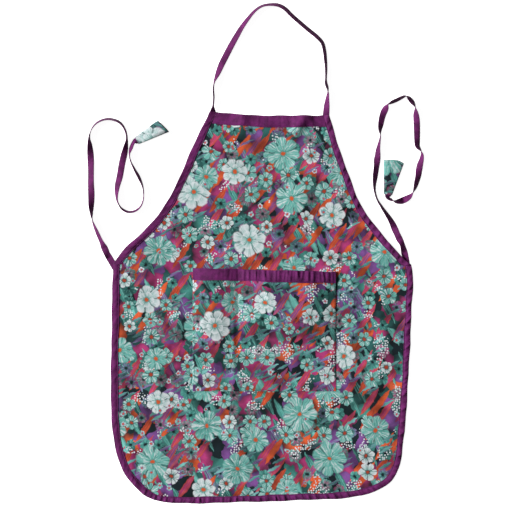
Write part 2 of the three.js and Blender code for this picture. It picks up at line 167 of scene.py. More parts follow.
RIGHT_TIE = [
    (320, -13, 0), (318, 3, 0), (316.2, 12, 0), (314.6, 19.5, 0), (312, 29, 26), (308.5, 40, 34),
    (298.5, 60, -24), (286, 88, 30), (264, 121, 64), (254, 137, 72), (248.5, 156, 70), (248, 172, 56),
    (250, 191, 34), (253, 213, 24), (255, 233, -30), (256, 249, -58), (259, 264, -78), (261, 277, -92),
    (260, 289, -122), (262, 303, -150), (266, 321, -166), (272, 336, -196), (276.4, 345.4, -258),
    (285, 350.6, -291), (295, 355, -297), (308, 361.4, -292), (314.5, 364.2, -281), (318.5, 364.2, -260),
    (322.5, 361.4, -236), (331, 351.5, -222), (337, 341, -256), (339, 325, -316), (341, 310, -344),
    (342, 290, -366), (342, 268, -382), (343, 254, -400), (349, 245, -430), (352, 236, -466),
    (351.5, 227, -484), (348.5, 215, -510), (346.5, 203, -534), (344.5, 189, -562), (341, 176, -576),
    (337, 163, -596), (332, 152, -630), (324, 143, -678), (313, 136.5, -713), (304, 133.5, -750),
    (294, 133, -786), (286, 136, -832),
]

# The cones: where the tie goes in and how it is turned there, the way the mouth points, the length, the
# mouth's half sizes, how far its rim leans from side to side and from foot to top, how far it is bowed out,
# and the corner of the print that each is cut from
Cone = namedtuple(
    "Cone", "x y turn heading length mouth_across mouth_up lean_across lean_up bow print_x print_y"
)
CONES = {
    "left": Cone(-274, 267, 180, 28, 66, 17, 8, 5, 1.2, 0, -46, 22),
    "right": Cone(278, 148, -900, 80, 73, 22.5, 4.2, 0, 1, 4, 160, -511),
}
CONE_WALL = 1.0
CONE_ROOM = 0.8
CONE_NECK = {
    "across": STRAP_WIDTH / 2 + CONE_ROOM + CONE_WALL,
    "up": STRAP_THICKNESS / 2 + CONE_ROOM + CONE_WALL,
    "square": 0.35,
}
CONE_LIFT = CONE_NECK["up"] - STRAP_THICKNESS / 2
CONE_TUCK = [(-6.5, 50), (-2.2, 18), (4, 0)]  # places of a tie along its cone, and how far it still leans
CONE_SIDES = 56
CONE_SHARES = (0, 0.03, 0.08, 0.16, 0.26, 0.38, 0.5, 0.62, 0.74, 0.84, 0.9, 0.94, 0.97, 1.0)
CONE_LIP = 1.006  # the middle of the rim, a little past its two faces
CONE_HEM = 0.93  # share of the length where the stitches run
CONE_BOW_SIDE = 0.6  # how much more a bowed rim stands out to one side
CONE_PLEAT = {"depth": 0.7, "waves": 9, "twist": 4}  # soft pleats, which grow towards the mouth
SEWN_IN = 1.8  # how far the neck strap's ends reach into the tape that holds them
NECK_LIFT = FOLD + CLOTH / 2 - STRAP_THICKNESS / 2

# How finely things are drawn: steps in millimetres, and counts
OUTLINE_STEP = 4.0
PANEL_ROWS = (84, 100)  # down the armholes, and down the skirt's sides
PANEL_COLUMNS = 124
POCKET_COLUMNS = 116
POCKET_ROWS = 92
TAPE_STEP = 1.8
STRAP_STEP = 2.4
SPLINE_STEPS = 24  # points for each span of a smooth curve
OVERRUN = 40.0  # how far a line is carried on before it is cut
CHUNK = 4000  # points whose distances are measured together
SHARP = math.radians(55)  # turns between faces that are drawn as edges
CLEAR = 0.02  # least height above the surface
# How far the middle of a thread lies above its cloth
STITCH_RISE = {"tape": 0.12, "pocket": 0.15, "strap": 0.1, "cone": 0.12}

# Gathers of sewn tape: a crest's height and half width, the spacing, the slant across the tape, and the seed
# that makes them uneven
Gather = namedtuple("Gather", "height width spacing slant seed")
SIDE_GATHERS = [Gather(3.6, 4.8, 27, 1.0, 3), Gather(1.6, 2.5, 12, 0.9, 4)]
HEM_GATHERS = [Gather(2.4, 3.2, 21, 0.12, 9), Gather(1.3, 1.9, 9, 0.05, 10)]
BIB_GATHERS = [Gather(1.6, 7, 32, 0.25, 5), Gather(0.6, 2.8, 13, 0.1, 6)]
POCKET_GATHERS = [Gather(2.8, 3.2, 16, 0.06, 7), Gather(1.5, 1.8, 8, -0.05, 8)]
# How uneven they are: shares of the spacing, height and width, and what is added to the slant
UNEVEN = {"spacing": (0.5, 1.5), "height": (0.3, 1.2), "width": (0.7, 1.5), "slant": (-0.15, 0.15)}
DRAWN_IN = 1.8  # how much narrower the gathered tape of a binding lies

# How a tape's two edges wander: how far, and the lengths and starts of a short and a long wave
Sway = namedtuple("Sway", "reach short short_start long long_start")
OUTER_SWAY = Sway(0.5, 9.7, 0, 23.1, 1)
INNER_SWAY = Sway(0.6, 11.9, 2, 29.3, 4)
SWAY_ENDS = 14.0  # from a tape's ends, where it wanders in full

# Fine wrinkles of the panel, and how far and over what length their waves bend along x and along y
Wrinkle = namedtuple("Wrinkle", "height wavelength heading")
WRINKLES = [
    Wrinkle(0.30, 96, 20),
    Wrinkle(0.26, 71, 105),
    Wrinkle(0.2, 53, 63),
    Wrinkle(0.16, 38, 148),
    Wrinkle(0.12, 29, 84),
    Wrinkle(0.1, 23, 12),
]
Bend = namedtuple("Bend", "reach length")
BEND_X = Bend(1.1, 43)
BEND_Y = Bend(1.4, 57)
BEND_START = 9  # times a wrinkle's height, so that no two bend alike

# Section of a folded strap as shares of its half width and half thickness. The groove is a row of stitches.
STRAP_TOP = [
    (1.0, 0.0), (0.975, 0.62), (0.9, 0.98), (0.76, 0.62), (0.62, 1.0), (0.2, 1.1), (-0.3, 1.1),
    (-0.7, 1.02), (-0.92, 0.9), (-0.985, 0.55),
]
STRAP_RING = STRAP_TOP + [(-across, -up) for across, up in STRAP_TOP]
STRAP_SEAMS = (3, 13)  # the grooves in that ring
STRAP_SEWN = slice(8, -6)  # the sections along a strap that carry stitches
STRAP_WRAP = 3.0  # how much of the cut cloth goes round a strap's edges
# How far a strap is bowed across: lying flat, in waves of some length, and where it stands on edge, which a
# high power picks out. The bow is none at a share of the half width squared, and fades near the ends.
STRAP_CURL = {"flat": 0.5, "wave": 31, "on_edge": 1.0, "power": 16, "about": 0.4, "ends": (8, 40)}

# The photograph looks straight down. Its middle, and the width of its frame on the surface, in metres
VIEW_MIDDLE = (-0.0143, 0.0154)
VIEW_WIDTH = 1.122
LENS_MM = 100.0
SENSOR_MM = 36.0

# Soft square lamps, in metres and watts, and the strength of the light from all round
Lamp = namedtuple("Lamp", "name place size power")
LAMPS = [Lamp("key light", (-12, 3, 8), 4.0, 4300.0), Lamp("fill light", (0.8, -0.4, 4.4), 3.0, 18.0)]
WORLD_LIGHT = 0.05


def linear(code):
    """An sRGB hex colour as linear red, green and blue."""
    values = [int(code[i : i + 2], 16) / 255 for i in (1, 3, 5)]
    return tuple(v / 12.92 if v <= 0.04045 else ((v + 0.055) / 1.055) ** 2.4 for v in values)


def measure(name, description, default):
    """A length property, in metres."""
    return FloatProperty(name=name, description=description, default=default, unit="LENGTH")


class ApronSizes(bpy.types.PropertyGroup):
    """Sizes that a maker would change."""

    cloth: measure("Cloth", "Thickness of panel and pocket", CLOTH * MM)
    binding: measure("Binding", "Width of the tape round the edges", BINDING_WIDTH * MM)
    band: measure("Band", "Depth of the tape on bib and pocket", BAND_WIDTH * MM)
    strap: measure("Strap", "Width of neck strap and ties", STRAP_WIDTH * MM)
    strap_thickness: measure("Strap thickness", "Folded tape, sewn shut", STRAP_THICKNESS * MM)
    stitch_pitch: measure("Stitch pitch", "From one stitch to the next", 0.0031)
    stitch_length: measure("Stitch length", "Length of thread that shows", 0.0024)
    stitch_width: measure("Thread", "Thickness of the sewing thread", 0.00055)
    weave: measure("Weave", "Spacing of the threads as drawn", 0.0013)


def colour(name, description, code):
    """A colour property with an sRGB hex default."""
    return FloatVectorProperty(
        name=name, description=description, default=linear(code), subtype="COLOR", min=0, max=1
    )


class ApronColours(bpy.types.PropertyGroup):
    """Colours that a maker would change."""

    tape: colour("Tape", "Plain purple cotton", "#661a5b")
    tape_dark: colour("Tape, deep", "The same cotton where its dye lies deeper", "#480d40")
    tape_pale: colour("Tape, worn", "The same cotton along its folds", "#82357a")
    thread: colour("Thread", "Sewing thread on the tape", "#4f1749")
    deep: colour("Deep green", "Darkest ground of the print", "#101d22")
    pine: colour("Pine", "Ground, and the partings of petals", "#26524f")
    teal: colour("Teal", "Leaves and blossoms", "#3d7b73")
    aqua: colour("Aqua", "Blossoms", "#62a299")
    white: colour("White", "Petal strokes and dots", "#c8cdd0")
    purple: colour("Purple", "Ground and blossoms", "#6b427d")
    magenta: colour("Magenta", "Leaves and blossoms", "#943062")
    orange: colour("Orange", "Leaves", "#bc502c")
    red: colour("Red", "Hearts of the blossoms", "#983a28")
    # Wrong side of the print: paler as a real wrong side is, and paler still as painted light, so the lining
    # inside the cones reads lit where it lies in shade
    reverse: colour("Reverse", "Wrong side of the print", "#a3b8b1")
    floor: colour("Floor", "Surface below the apron", "#f6f6f6")


# Curves and heights in plain numbers, all in millimetres


def smoothstep(low, high, value):
    share = np.clip((value - low) / (high - low), 0, 1)
    return share * share * (3 - 2 * share)


def spline(points, power, carried):
    """A Catmull-Rom curve: power 0 is uniform and 0.5 centripetal. Carried ends run straight on."""
    rows = np.array(points, float)
    before = 2 * rows[0] - rows[1] if carried else rows[0]
    after = 2 * rows[-1] - rows[-2] if carried else rows[-1]
    rows = np.vstack([before, rows, after])
    spans = np.linalg.norm(np.diff(rows[:, :2], axis=0), axis=1)
    spans = np.where(spans > 1e-6, spans, 1) ** power
    share = np.linspace(0, 1, SPLINE_STEPS, endpoint=False)[:, None]
    made = []
    for i in range(1, len(rows) - 2):
        a, b, c, d = rows[i - 1 : i + 3]
        first, middle, last = spans[i - 1 : i + 2]
        leaving = middle * ((b - a) / first - (c - a) / (first + middle) + (c - b) / middle)
        coming = middle * ((c - b) / middle - (d - b) / (middle + last) + (d - c) / last)
        cubic = 2 * b - 2 * c + leaving + coming
        square = -3 * b + 3 * c - 2 * leaving - coming
        made.append(((cubic * share + square) * share + leaving) * share + b)
    return np.vstack([*made, rows[-2]])


def distances(line):
    """How far along a line each of its points is."""
    steps = np.linalg.norm(np.diff(line[:, :2], axis=0), axis=1)
    return np.concatenate([[0], np.cumsum(steps)])


def evenly(line, count):
    """The line again as count points, evenly spaced."""
    along = distances(line)
    places = np.linspace(0, along[-1], count)
    return np.stack([np.interp(places, along, column) for column in line.T], axis=1)


def spaced(line, step):
    return evenly(line, math.ceil(distances(line)[-1] / step) + 1)


def headings(line):
    way = np.gradient(line[:, :2], axis=0)
    return way / np.linalg.norm(way, axis=1, keepdims=True)


def moved(line, distance):
    """The line moved to the left of its way along."""
    way = headings(line)
    return line + distance * np.stack([-way[:, 1], way[:, 0]], axis=1)


def extended(line):
    """The line carried straight on past both its ends."""
    way = headings(line)
    return np.vstack([line[0] - OVERRUN * way[0], line, line[-1] + OVERRUN * way[-1]])


def trimmed(line, cut):
    """The part of a line, from its middle outwards, that lies on one side of a cut, a point and a way."""
    point, way = cut
    side = (line[:, 0] - point[0]) * way[1] - (line[:, 1] - point[1]) * way[0]
    middle = len(line) // 2
    beyond = np.flatnonzero(side * side[middle] < 0)
    if not len(beyond):
        return line

    def meeting(outer, inner):
        share = side[outer] / (side[outer] - side[inner])
        return line[outer] + share * (line[inner] - line[outer])

    before = beyond[beyond < middle]
    after = beyond[beyond > middle]
    if len(before):
        first = before[-1]
        return np.vstack([meeting(first, first + 1), line[first + 1 :]])
    last = after[0]
    return np.vstack([line[:last], meeting(last, last - 1)])


EDGES = {
    name: spaced(spline(rows, power=0, carried=False), OUTLINE_STEP)
    for name, rows in (
        ("right_armhole", RIGHT_ARMHOLE),
        ("bib_top", BIB_TOP),
        ("left_armhole", LEFT_ARMHOLE),
        ("skirt", SKIRT),
    )
}
OUTLINE = np.vstack([line[:-1] for line in EDGES.values()])
WAIST_CORNERS = [EDGES["left_armhole"][-1], EDGES["right_armhole"][0]]


def nearest(points, line):
    """Distance from each point to the nearest point of a line."""
    flat = points.reshape(-1, 2)
    parts = [flat[i : i + CHUNK] for i in range(0, len(flat), CHUNK)]
    found = [np.sqrt(((part[:, None] - line[None]) ** 2).sum(2).min(1)) for part in parts]
    return np.concatenate(found).reshape(points.shape[:-1])


def crests(points, rows):
    """Height of a set of soft crests."""
    height = np.zeros(points.shape[:-1])
    for row in rows:
        heading = math.radians(row.heading)
        x = points[..., 0] - row.x
        y = points[..., 1] - row.y
        along = x * math.cos(heading) + y * math.sin(heading)
        across = y * math.cos(heading) - x * math.sin(heading)
        fade = 1 - smoothstep(CREST_SHARE * row.reach, row.reach, np.abs(along))
        height += row.height * fade * np.exp(-((across / row.spread) ** 2))
    return height


def outside_pocket(points):
    """0 under the pocket and 1 well clear of it."""
    x = np.maximum(POCKET["left"] - points[..., 0], points[..., 0] - POCKET["right"])
    y = np.maximum(POCKET["bottom"] - points[..., 1], points[..., 1] - POCKET["mouth_left"])
    return smoothstep(*POCKET_CLEAR, np.maximum(x, y))


def wrinkles(points):
    """Height of the fine wrinkles, which are bent waves."""
    x = points[..., 0]
    y = points[..., 1]
    height = np.zeros(x.shape)
    for row in WRINKLES:
        heading = math.radians(row.heading)
        along = x * math.cos(heading) + y * math.sin(heading)
        bend = BEND_Y.reach * np.sin(y / BEND_Y.length + BEND_START * row.height)
        bend += BEND_X.reach * np.sin(x / BEND_X.length + row.heading)
        height += row.height * (0.5 + 0.5 * np.sin(2 * math.pi * along / row.wavelength + bend))
    return height


def panel_height(points):
    """Underside of the panel above the surface that it lies on."""
    height = FOLD * (1 - smoothstep(*EDGE_REST, nearest(points, OUTLINE)))
    for corner in WAIST_CORNERS:
        reach = np.linalg.norm(points - corner, axis=-1)
        height += TIE_TUCK * (1 - smoothstep(*CORNER_RISE, reach))
    fine = crests(points, PANEL_CREASES) + wrinkles(points)
    return height + crests(points, FOLDS) + fine * outside_pocket(points)


def pocket_height(points):
    """Underside of the pocket: close at its seams, raised between them and towards its mouth."""
    x = points[..., 0]
    up = (points[..., 1] - POCKET["bottom"]) / (POCKET["mouth_right"] - POCKET["bottom"])
    height = CLOTH + GAP + (FOLD + GAP) * smoothstep(*BAND_RISE, up)
    loose = np.zeros(x.shape)
    for room in COMPARTMENTS:
        across = np.clip((x - room.left) / (room.right - room.left), 0, 1)
        loose += np.sin(math.pi * across)
        height = height + room.bulge * np.sin(math.pi * across) * smoothstep(0, BULGE_FULL, up)
    fine = crests(points, POCKET_CREASES) + POCKET_WRINKLES * wrinkles(points)
    return height + fine * np.clip(2 * loose, 0, 1) * smoothstep(0, POCKET_FOOT, up)


# Meshes


def finished(name, points, faces, cut, materials, slots=None):
    """A mesh object from points and places on the cut cloth, both in millimetres, with its faces outward."""
    mesh = bpy.data.meshes.new(name)
    mesh.from_pydata((np.asarray(points) * MM).tolist(), [], faces)
    for material in materials:
        mesh.materials.append(material)
    if slots is not None:
        mesh.polygons.foreach_set("material_index", np.asarray(slots, np.int32))
    vertices = np.zeros(len(mesh.loops), np.int32)
    mesh.loops.foreach_get("vertex_index", vertices)
    places = (np.asarray(cut) * MM)[vertices].astype(np.float32)
    mesh.uv_layers.new(name=CUT_MAP).uv.foreach_set("vector", places.ravel())
    work = bmesh.new()
    work.from_mesh(mesh)
    bmesh.ops.recalc_face_normals(work, faces=work.faces)
    work.to_mesh(mesh)
    work.free()
    mesh.shade_smooth()
    mesh.set_sharp_from_angle(angle=SHARP)
    made = bpy.data.objects.new(name, mesh)
    bpy.context.scene.collection.objects.link(made)
    return made


def settled(made, slot, *nodes):
    """The piece rides on the apron, and the solids that it stands for are hidden."""
    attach(made, BODY)
    if nodes:
        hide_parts(*nodes)


def cloth_faces(rows, columns):
    """Faces of a closed cloth: a grid of points above, the same below, and a ring between their rims."""
    count = rows * columns
    index = np.arange(count).reshape(rows, columns)
    corners = [index[:-1, :-1], index[:-1, 1:], index[1:, 1:], index[1:, :-1]]
    quads = np.stack(corners, axis=-1).reshape(-1, 4)
    rim = np.concatenate([index[0, :-1], index[:-1, -1], index[-1, :0:-1], index[:0:-1, 0]])
    ring = 2 * count + np.arange(len(rim))
    walls = []
    for level in (rim, rim + count):
        walls.append(np.stack([level, np.roll(level, -1), np.roll(ring, -1), ring], axis=1))
    walls[1] = walls[1][:, ::-1]
    faces = np.concatenate([quads, quads[:, ::-1] + count, *walls])
    slots = np.concatenate([np.zeros(len(quads)), np.ones(len(quads)), np.zeros(2 * len(rim))])
    return rim, faces.tolist(), slots


def cloth_piece(name, plan, under, thickness, rim_out, cut, materials):
    """A closed cloth over a grid of plan points."""
    rows, columns = plan.shape[:2]
    rim, faces, slots = cloth_faces(rows, columns)
    flat = plan.reshape(-1, 2)
    low = np.column_stack([flat, under.ravel()])
    high = low + (0, 0, thickness)
    inner = plan[1:-1, 1:-1].reshape(-1, 2).mean(0)
    out = flat[rim] - inner
    out /= np.linalg.norm(out, axis=1, keepdims=True)
    ring = np.column_stack([flat[rim] + rim_out * out, low[rim, 2] + thickness / 2])
    points = np.vstack([high, low, ring])
    places = np.vstack([cut.reshape(-1, 2), cut.reshape(-1, 2), cut.reshape(-1, 2)[rim]])
    return finished(name, points, faces, places, materials, slots)


def tube_faces(rings, count, looped=False):
    """Quads round a row of rings, which ends in a face at each end or is joined into a loop."""
    index = np.arange(rings * count).reshape(rings, count)
    if looped:
        index = np.vstack([index, index[:1]])
    after = np.roll(index, -1, axis=1)
    quads = np.stack([index[:-1], after[:-1], after[1:], index[1:]], axis=-1).reshape(-1, 4).tolist()
    if looped:
        return quads
    return [*quads, index[0, ::-1].tolist(), index[-1].tolist()]


# Section of a tape folded over an edge: depth from the edge, height above the cloth's underside, and how
# freely it ripples there
Section = namedtuple("Section", "depth height loose")
EDGE_ROW = 7  # of the section, at the edge itself
SEAM_ROW = 19  # of the section, where the stitches run
TAPE_WRAP = 2.0  # how much of the cut cloth goes round the fold
# How a tape lies: its width, how round its middle stands, how much its gathers draw it in, and pairs of
# gathers and their strength at each place
Shape = namedtuple("Shape", "width roll drawn_in gathers")


def tape_section(width, roll):
    """Rows once round the section: along the back, round the edge, over the front, and along the inside."""
    top = CLOTH + FOLD
    full = top + 0.26
    inside = CLOTH + GAP
    back = [
        (width, -0.75, 0), (width - 0.2, -FOLD, 0), (width / 2, -FOLD, 0), (3, -FOLD, 0), (1.2, -FOLD, 0),
    ]
    edge = [
        (0.45, -0.95, 0.1), (0.1, -0.2, 0.25), (0, 0.5, 0.4),
        (0.1, 1.2, 0.55), (0.45, 1.95, 0.65), (1.2, 2.25, 0.75),
    ]
    front = [
        (2.4, top + 0.1 + 0.15 * roll, 0.85), (4, top + 0.2 + 0.5 * roll, 0.95),
        (0.36 * width, full + 0.85 * roll, 1), (0.46 * width, full + roll, 1),
        (0.56 * width, full + 0.85 * roll, 1), (0.66 * width, full + 0.5 * roll, 1),
        (width - 4.2, top + 0.2 + 0.1 * roll, 0.85), (width - 3, top, 0.6),
        (width - 2.2, top - 0.45, 0.3), (width - 1.4, top - 0.1, 0.4),
        (width - 0.6, top - 0.05, 0.5), (width - 0.12, top - 0.3, 0.5), (width, top - 0.6, 0.45),
    ]
    lining = [
        (width - 0.15, inside, 0.4), (width - 2.2, inside, 0.25), (0.6 * width, inside, 0.95),
        (4, inside, 0.9), (1.9, inside, 0.7), (1.1, 0.5, 0.3),
        (1.9, -GAP, 0), (width / 2, -GAP, 0), (width - 0.2, -GAP, 0),
    ]
    return [Section(*row) for row in back + edge + front + lining]


def strip_plan(edge, depths, cuts, count):
    """Plan points of a strip: for each place along the edge, one point at each depth."""
    lines = []
    for depth in depths:
        line = moved(edge, depth)
        if cuts:
            line = extended(line)
        for cut in cuts:
            line = trimmed(line, cut)
        lines.append(evenly(line, count))
    return np.stack(lines, axis=1)


def gathered(along, depth, rows):
    """Height of the gathers of a sewn tape: crests at uneven places, never below the tape."""
    height = np.zeros(np.broadcast_shapes(along.shape, depth.shape))
    for row in rows:
        chance = np.random.default_rng(row.seed)
        place = -row.slant * BAND_WIDTH
        while place < along.max() + BAND_WIDTH:
            place += row.spacing * chance.uniform(*UNEVEN["spacing"])
            tall = row.height * chance.uniform(*UNEVEN["height"])
            wide = row.width * chance.uniform(*UNEVEN["width"])
            slant = row.slant + chance.uniform(*UNEVEN["slant"])
            height += tall * np.exp(-(((along + slant * depth - place) / wide) ** 2))
    return height


def swayed(along, row):
    """How far an edge of a tape wanders at each place along it."""
    short = np.sin(along / row.short + row.short_start)
    return row.reach * (short + np.sin(along / row.long + row.long_start))


def folded_tape(name, edge, shape, cuts, ground, materials):
    """Tape folded over an edge of the cloth and sewn down. Gives the piece, its stitches and its length."""
    depth, height, loose = np.array(tape_section(shape.width, shape.roll)).T
    length = distances(edge)[-1]
    count = math.ceil(length / TAPE_STEP) + 1
    plan = strip_plan(edge, depth, cuts, count)
    along = np.linspace(0, length, count)[:, None]
    inward = plan[:, 0] - plan[:, EDGE_ROW]
    inward /= np.linalg.norm(inward, axis=1, keepdims=True)
    share = depth / shape.width
    sway = (1 - share) * swayed(along, OUTER_SWAY) + share * swayed(along, INNER_SWAY)
    fade = smoothstep(0, SWAY_ENDS, along) * smoothstep(0, SWAY_ENDS, length - along)
    drawn = shape.drawn_in * sum(strength(plan[:, :1]) for _, strength in shape.gathers)
    plan = plan + inward[:, None] * (sway * fade - drawn * share)[..., None]
    wave = sum(gathered(along, depth, rows) * strength(plan) for rows, strength in shape.gathers) * loose
    points = np.concatenate([plan, (ground(plan) + height + wave)[..., None]], axis=2)
    cut = np.stack(np.broadcast_arrays(along, depth + TAPE_WRAP * height), axis=2)
    faces = tube_faces(count, len(depth))
    made = finished(name, points.reshape(-1, 3), faces, cut.reshape(-1, 2), materials)
    return made, points[:, SEAM_ROW] + (0, 0, STITCH_RISE["tape"]), length


# Sewing


def fill(tree, node, links):
    """Sets inputs of a node. Each is given as a value, a socket, or a node, whose first output is meant."""
    for name, value in links.items():
        source = value.outputs[0] if isinstance(value, bpy.types.Node) else value
        if isinstance(source, bpy.types.NodeSocket):
            tree.links.new(source, node.inputs[name])
        else:
            node.inputs[name].default_value = source


def add(tree, kind, links=None, stops=None, **settings):
    """Adds a node with its settings, its inputs and the stops of a ramp. Two stops blend, and more jump."""
    node = tree.nodes.new(kind)
    for name, value in settings.items():
        setattr(node, name, value)
    fill(tree, node, links or {})
    if stops:
        node.color_ramp.interpolation = "CONSTANT" if len(stops) > 2 else "LINEAR"
        ramp = node.color_ramp.elements
        while len(ramp) < len(stops):
            ramp.new(1.0)
        for element, (place, shade) in zip(ramp, stops):
            element.position = place
            element.color = (*shade, 1)
    return node


def stitch_tree():
    """Geometry nodes that lay stitches along the edges of a mesh, their tops along the attribute up."""
    tree = bpy.data.node_groups.new(STITCH_TREE, "GeometryNodeTree")
    inputs = {"Seam": "Geometry", "Pitch": "Float", "Length": "Float", "Thread": "Float"}
    for name, kind in {**inputs, "Material": "Material"}.items():
        tree.interface.new_socket(name, in_out="INPUT", socket_type=f"NodeSocket{kind}")
    tree.interface.new_socket("Stitches", in_out="OUTPUT", socket_type="NodeSocketGeometry")
    given = add(tree, "NodeGroupInput").outputs
    line = add(tree, "GeometryNodeMeshToCurve", {"Mesh": given["Seam"]})
    points = add(tree, "GeometryNodeResampleCurve", {"Curve": line, "Length": given["Pitch"]}, mode="LENGTH")
    grain = add(tree, "GeometryNodeMeshIcoSphere", {"Radius": 0.5, "Subdivisions": 1})
    sides = {"X": given["Length"], "Y": given["Thread"], "Z": given["Thread"]}
    size = add(tree, "ShaderNodeCombineXYZ", sides)
    shaped = add(tree, "GeometryNodeTransform", {"Geometry": grain, "Scale": size})
    up = add(tree, "GeometryNodeInputNamedAttribute", {"Name": "up"}, data_type="FLOAT_VECTOR")
    tangent = add(tree, "GeometryNodeInputTangent")
    lengthwise = add(tree, "FunctionNodeAlignRotationToVector", {"Vector": tangent}, axis="X")
    turn = {"Rotation": lengthwise, "Vector": up}
    upright = add(tree, "FunctionNodeAlignRotationToVector", turn, axis="Z", pivot_axis="X")
    scales = {"Min": (0.9, 0.9, 0.9), "Max": (1.08, 1.1, 1.1), "Seed": 7}
    uneven = add(tree, "FunctionNodeRandomValue", scales, data_type="FLOAT_VECTOR")
    spots = {"Points": points, "Instance": shaped, "Rotation": upright, "Scale": uneven}
    laid = add(tree, "GeometryNodeInstanceOnPoints", spots)
    real = add(tree, "GeometryNodeRealizeInstances", {"Geometry": laid})
    dyed = add(tree, "GeometryNodeSetMaterial", {"Geometry": real, "Material": given["Material"]})
    add(tree, "NodeGroupOutput", {"Stitches": dyed})
    return tree


def stitched(name, seams, slot, sizes, thread):
    """One piece of stitches along seams, each a line of points and the ways up from the cloth there."""
    points = np.vstack([line for line, _ in seams]) * MM
    ups = np.vstack([np.broadcast_to(up, line.shape) for line, up in seams]).astype(np.float32)
    first = np.cumsum([0] + [len(line) for line, _ in seams])
    edges = [(i, i + 1) for a, b in zip(first, first[1:]) for i in range(a, b - 1)]
    mesh = bpy.data.meshes.new(name)
    mesh.from_pydata(points.tolist(), edges, [])
    mesh.attributes.new("up", "FLOAT_VECTOR", "POINT").data.foreach_set("vector", ups.ravel())
    made = bpy.data.objects.new(name, mesh)
    bpy.context.scene.collection.objects.link(made)
    tree = bpy.data.node_groups.get(STITCH_TREE) or stitch_tree()
    sockets = {item.name: item.identifier for item in tree.interface.items_tree}
    modifier = made.modifiers.new("Stitches", "NODES")
    modifier.node_group = tree
    modifier[sockets["Pitch"]] = sizes.stitch_pitch
    modifier[sockets["Length"]] = sizes.stitch_length
    modifier[sockets["Thread"]] = sizes.stitch_width
    modifier[sockets["Material"]] = thread
    bpy.context.view_layer.update()
    evaluated = made.evaluated_get(bpy.context.evaluated_depsgraph_get())
    plain_mesh = bpy.data.meshes.new_from_object(evaluated)
    made.modifiers.clear()
    made.data = plain_mesh
    plain_mesh.shade_smooth()
    settled(made, slot)


# Materials


def blank_material(name):
    """A material with a Principled shader alone. Gives the material, its tree and the shader."""
    made = bpy.data.materials.new(name)
    made.use_nodes = True
    tree = made.node_tree
    return made, tree, tree.nodes["Principled BSDF"]


def cut_place(tree):
    """A point's place on the flat cloth, in millimetres."""
    place = add(tree, "ShaderNodeUVMap", uv_map=CUT_MAP)
    return add(tree, "ShaderNodeVectorMath", {0: place, "Scale": 1 / MM}, operation="SCALE")


# A colour that is laid over a shade: the value that its share follows, two marks of that value, the share at
# each of them, and the colour
Tint = namedtuple("Tint", "value start end start_share end_share colour")


def tinted(tree, shade, rows):
    """Lays colours over a shade, one after another."""
    for row in rows:
        marks = {"Value": row.value, "From Min": row.start, "From Max": row.end}
        shares = {"To Min": row.start_share, "To Max": row.end_share}
        share = add(tree, "ShaderNodeMapRange", {**marks, **shares})
        layer = add(tree, "ShaderNodeMix", {0: share, 6: shade, 7: (*row.colour, 1)}, data_type="RGBA")
        shade = layer.outputs[2]
    return shade


WAVE_SCALE = 0.1 * math.pi  # of a wave texture that repeats once in each unit


def woven_bump(tree, place, spacing, turned, strength):
    """Plain weave: two sets of threads, which stand a little proud of each other, and a soft crumple."""
    turn = add(tree, "ShaderNodeMapping", {0: place, "Rotation": (0, 0, math.radians(turned))})
    waves = {0: turn, "Scale": WAVE_SCALE / spacing, "Distortion": 0.6, "Detail": 1.0}
    warp, weft = [
        add(tree, "ShaderNodeTexWave", waves, bands_direction=direction).outputs["Fac"] for direction in "XY"
    ]
    weave = add(tree, "ShaderNodeMath", {0: warp, 1: weft}, operation="MAXIMUM")
    crumple = add(tree, "ShaderNodeTexNoise", {0: place, "Scale": 0.09, "Detail": 4.0, "Roughness": 0.6})
    height = add(tree, "ShaderNodeMath", {0: crumple, 1: 3.0, 2: weave}, operation="MULTIPLY_ADD")
    return add(tree, "ShaderNodeBump", {"Strength": strength, "Distance": 0.0003, "Height": height})


def tape_material(name, colours, sizes):
    """Purple cotton cut on the bias, plain woven and pressed into folds: matt with a faint bloom, its dye a
    little uneven, its threads at 45 degrees to the tape. Threads of 0.4 mm are drawn coarser, to show."""
    made, tree, shader = blank_material(name)
    place = cut_place(tree)
    cloud = add(tree, "ShaderNodeTexNoise", {0: place, "Scale": 0.055, "Detail": 5.0, "Roughness": 0.65})
    worn = add(tree, "ShaderNodeTexNoise", {0: place, "Scale": 0.6, "Detail": 3.0, "Roughness": 0.7})
    tints = [
        Tint(cloud, 0.38, 0.62, 0, 1, colours.tape),
        Tint(worn, 0.52, 0.8, 0, 0.5, colours.tape_pale),
    ]
    looks = {
        "Base Color": tinted(tree, (*colours.tape_dark, 1), tints),
        "Normal": woven_bump(tree, place, sizes.weave / MM, 45, 0.55),
        "Roughness": 0.75,
        "Specular IOR Level": 0.2,
        "Sheen Weight": 0.04,
        "Sheen Roughness": 0.5,
    }
    fill(tree, shader, looks)
    return made


def grained(tree, scale, detail, stops):
    """A shade that wanders between two stops in a fine grain."""
    place = add(tree, "ShaderNodeTexCoord").outputs["Object"]
    grain = add(tree, "ShaderNodeTexNoise", {0: place, "Scale": scale, "Detail": detail})
    return add(tree, "ShaderNodeValToRGB", {0: grain}, stops)


THREAD_SHADES = (0.7, 1.25)  # of the thread's colour, in its twist and between
FLOOR_GRAIN = 0.985  # of the floor's colour, in its grain


def thread_material(name, shade):
    """Polyester sewing thread: a little brighter in its gloss than the cotton, with a twist along it."""
    made, tree, shader = blank_material(name)
    dark, light = THREAD_SHADES
    stops = [(0.35, [dark * v for v in shade]), (0.65, [min(1, light * v) for v in shade])]
    fill(tree, shader, {"Base Color": grained(tree, 900.0, 2.0, stops), "Roughness": 0.5})
    return made


# Blossoms of the print: the spacing, radius and number of petals, the share of places that bloom, how deep
# the petals are parted, how closely they are stroked, the heart's size and where the layer starts, then the
# colours of petals, tips, strokes, partings and hearts. Sizes are in millimetres.
Blossom = namedtuple(
    "Blossom", "cell radius petals share parted strokes heart x y petal tip stroke parting core"
)
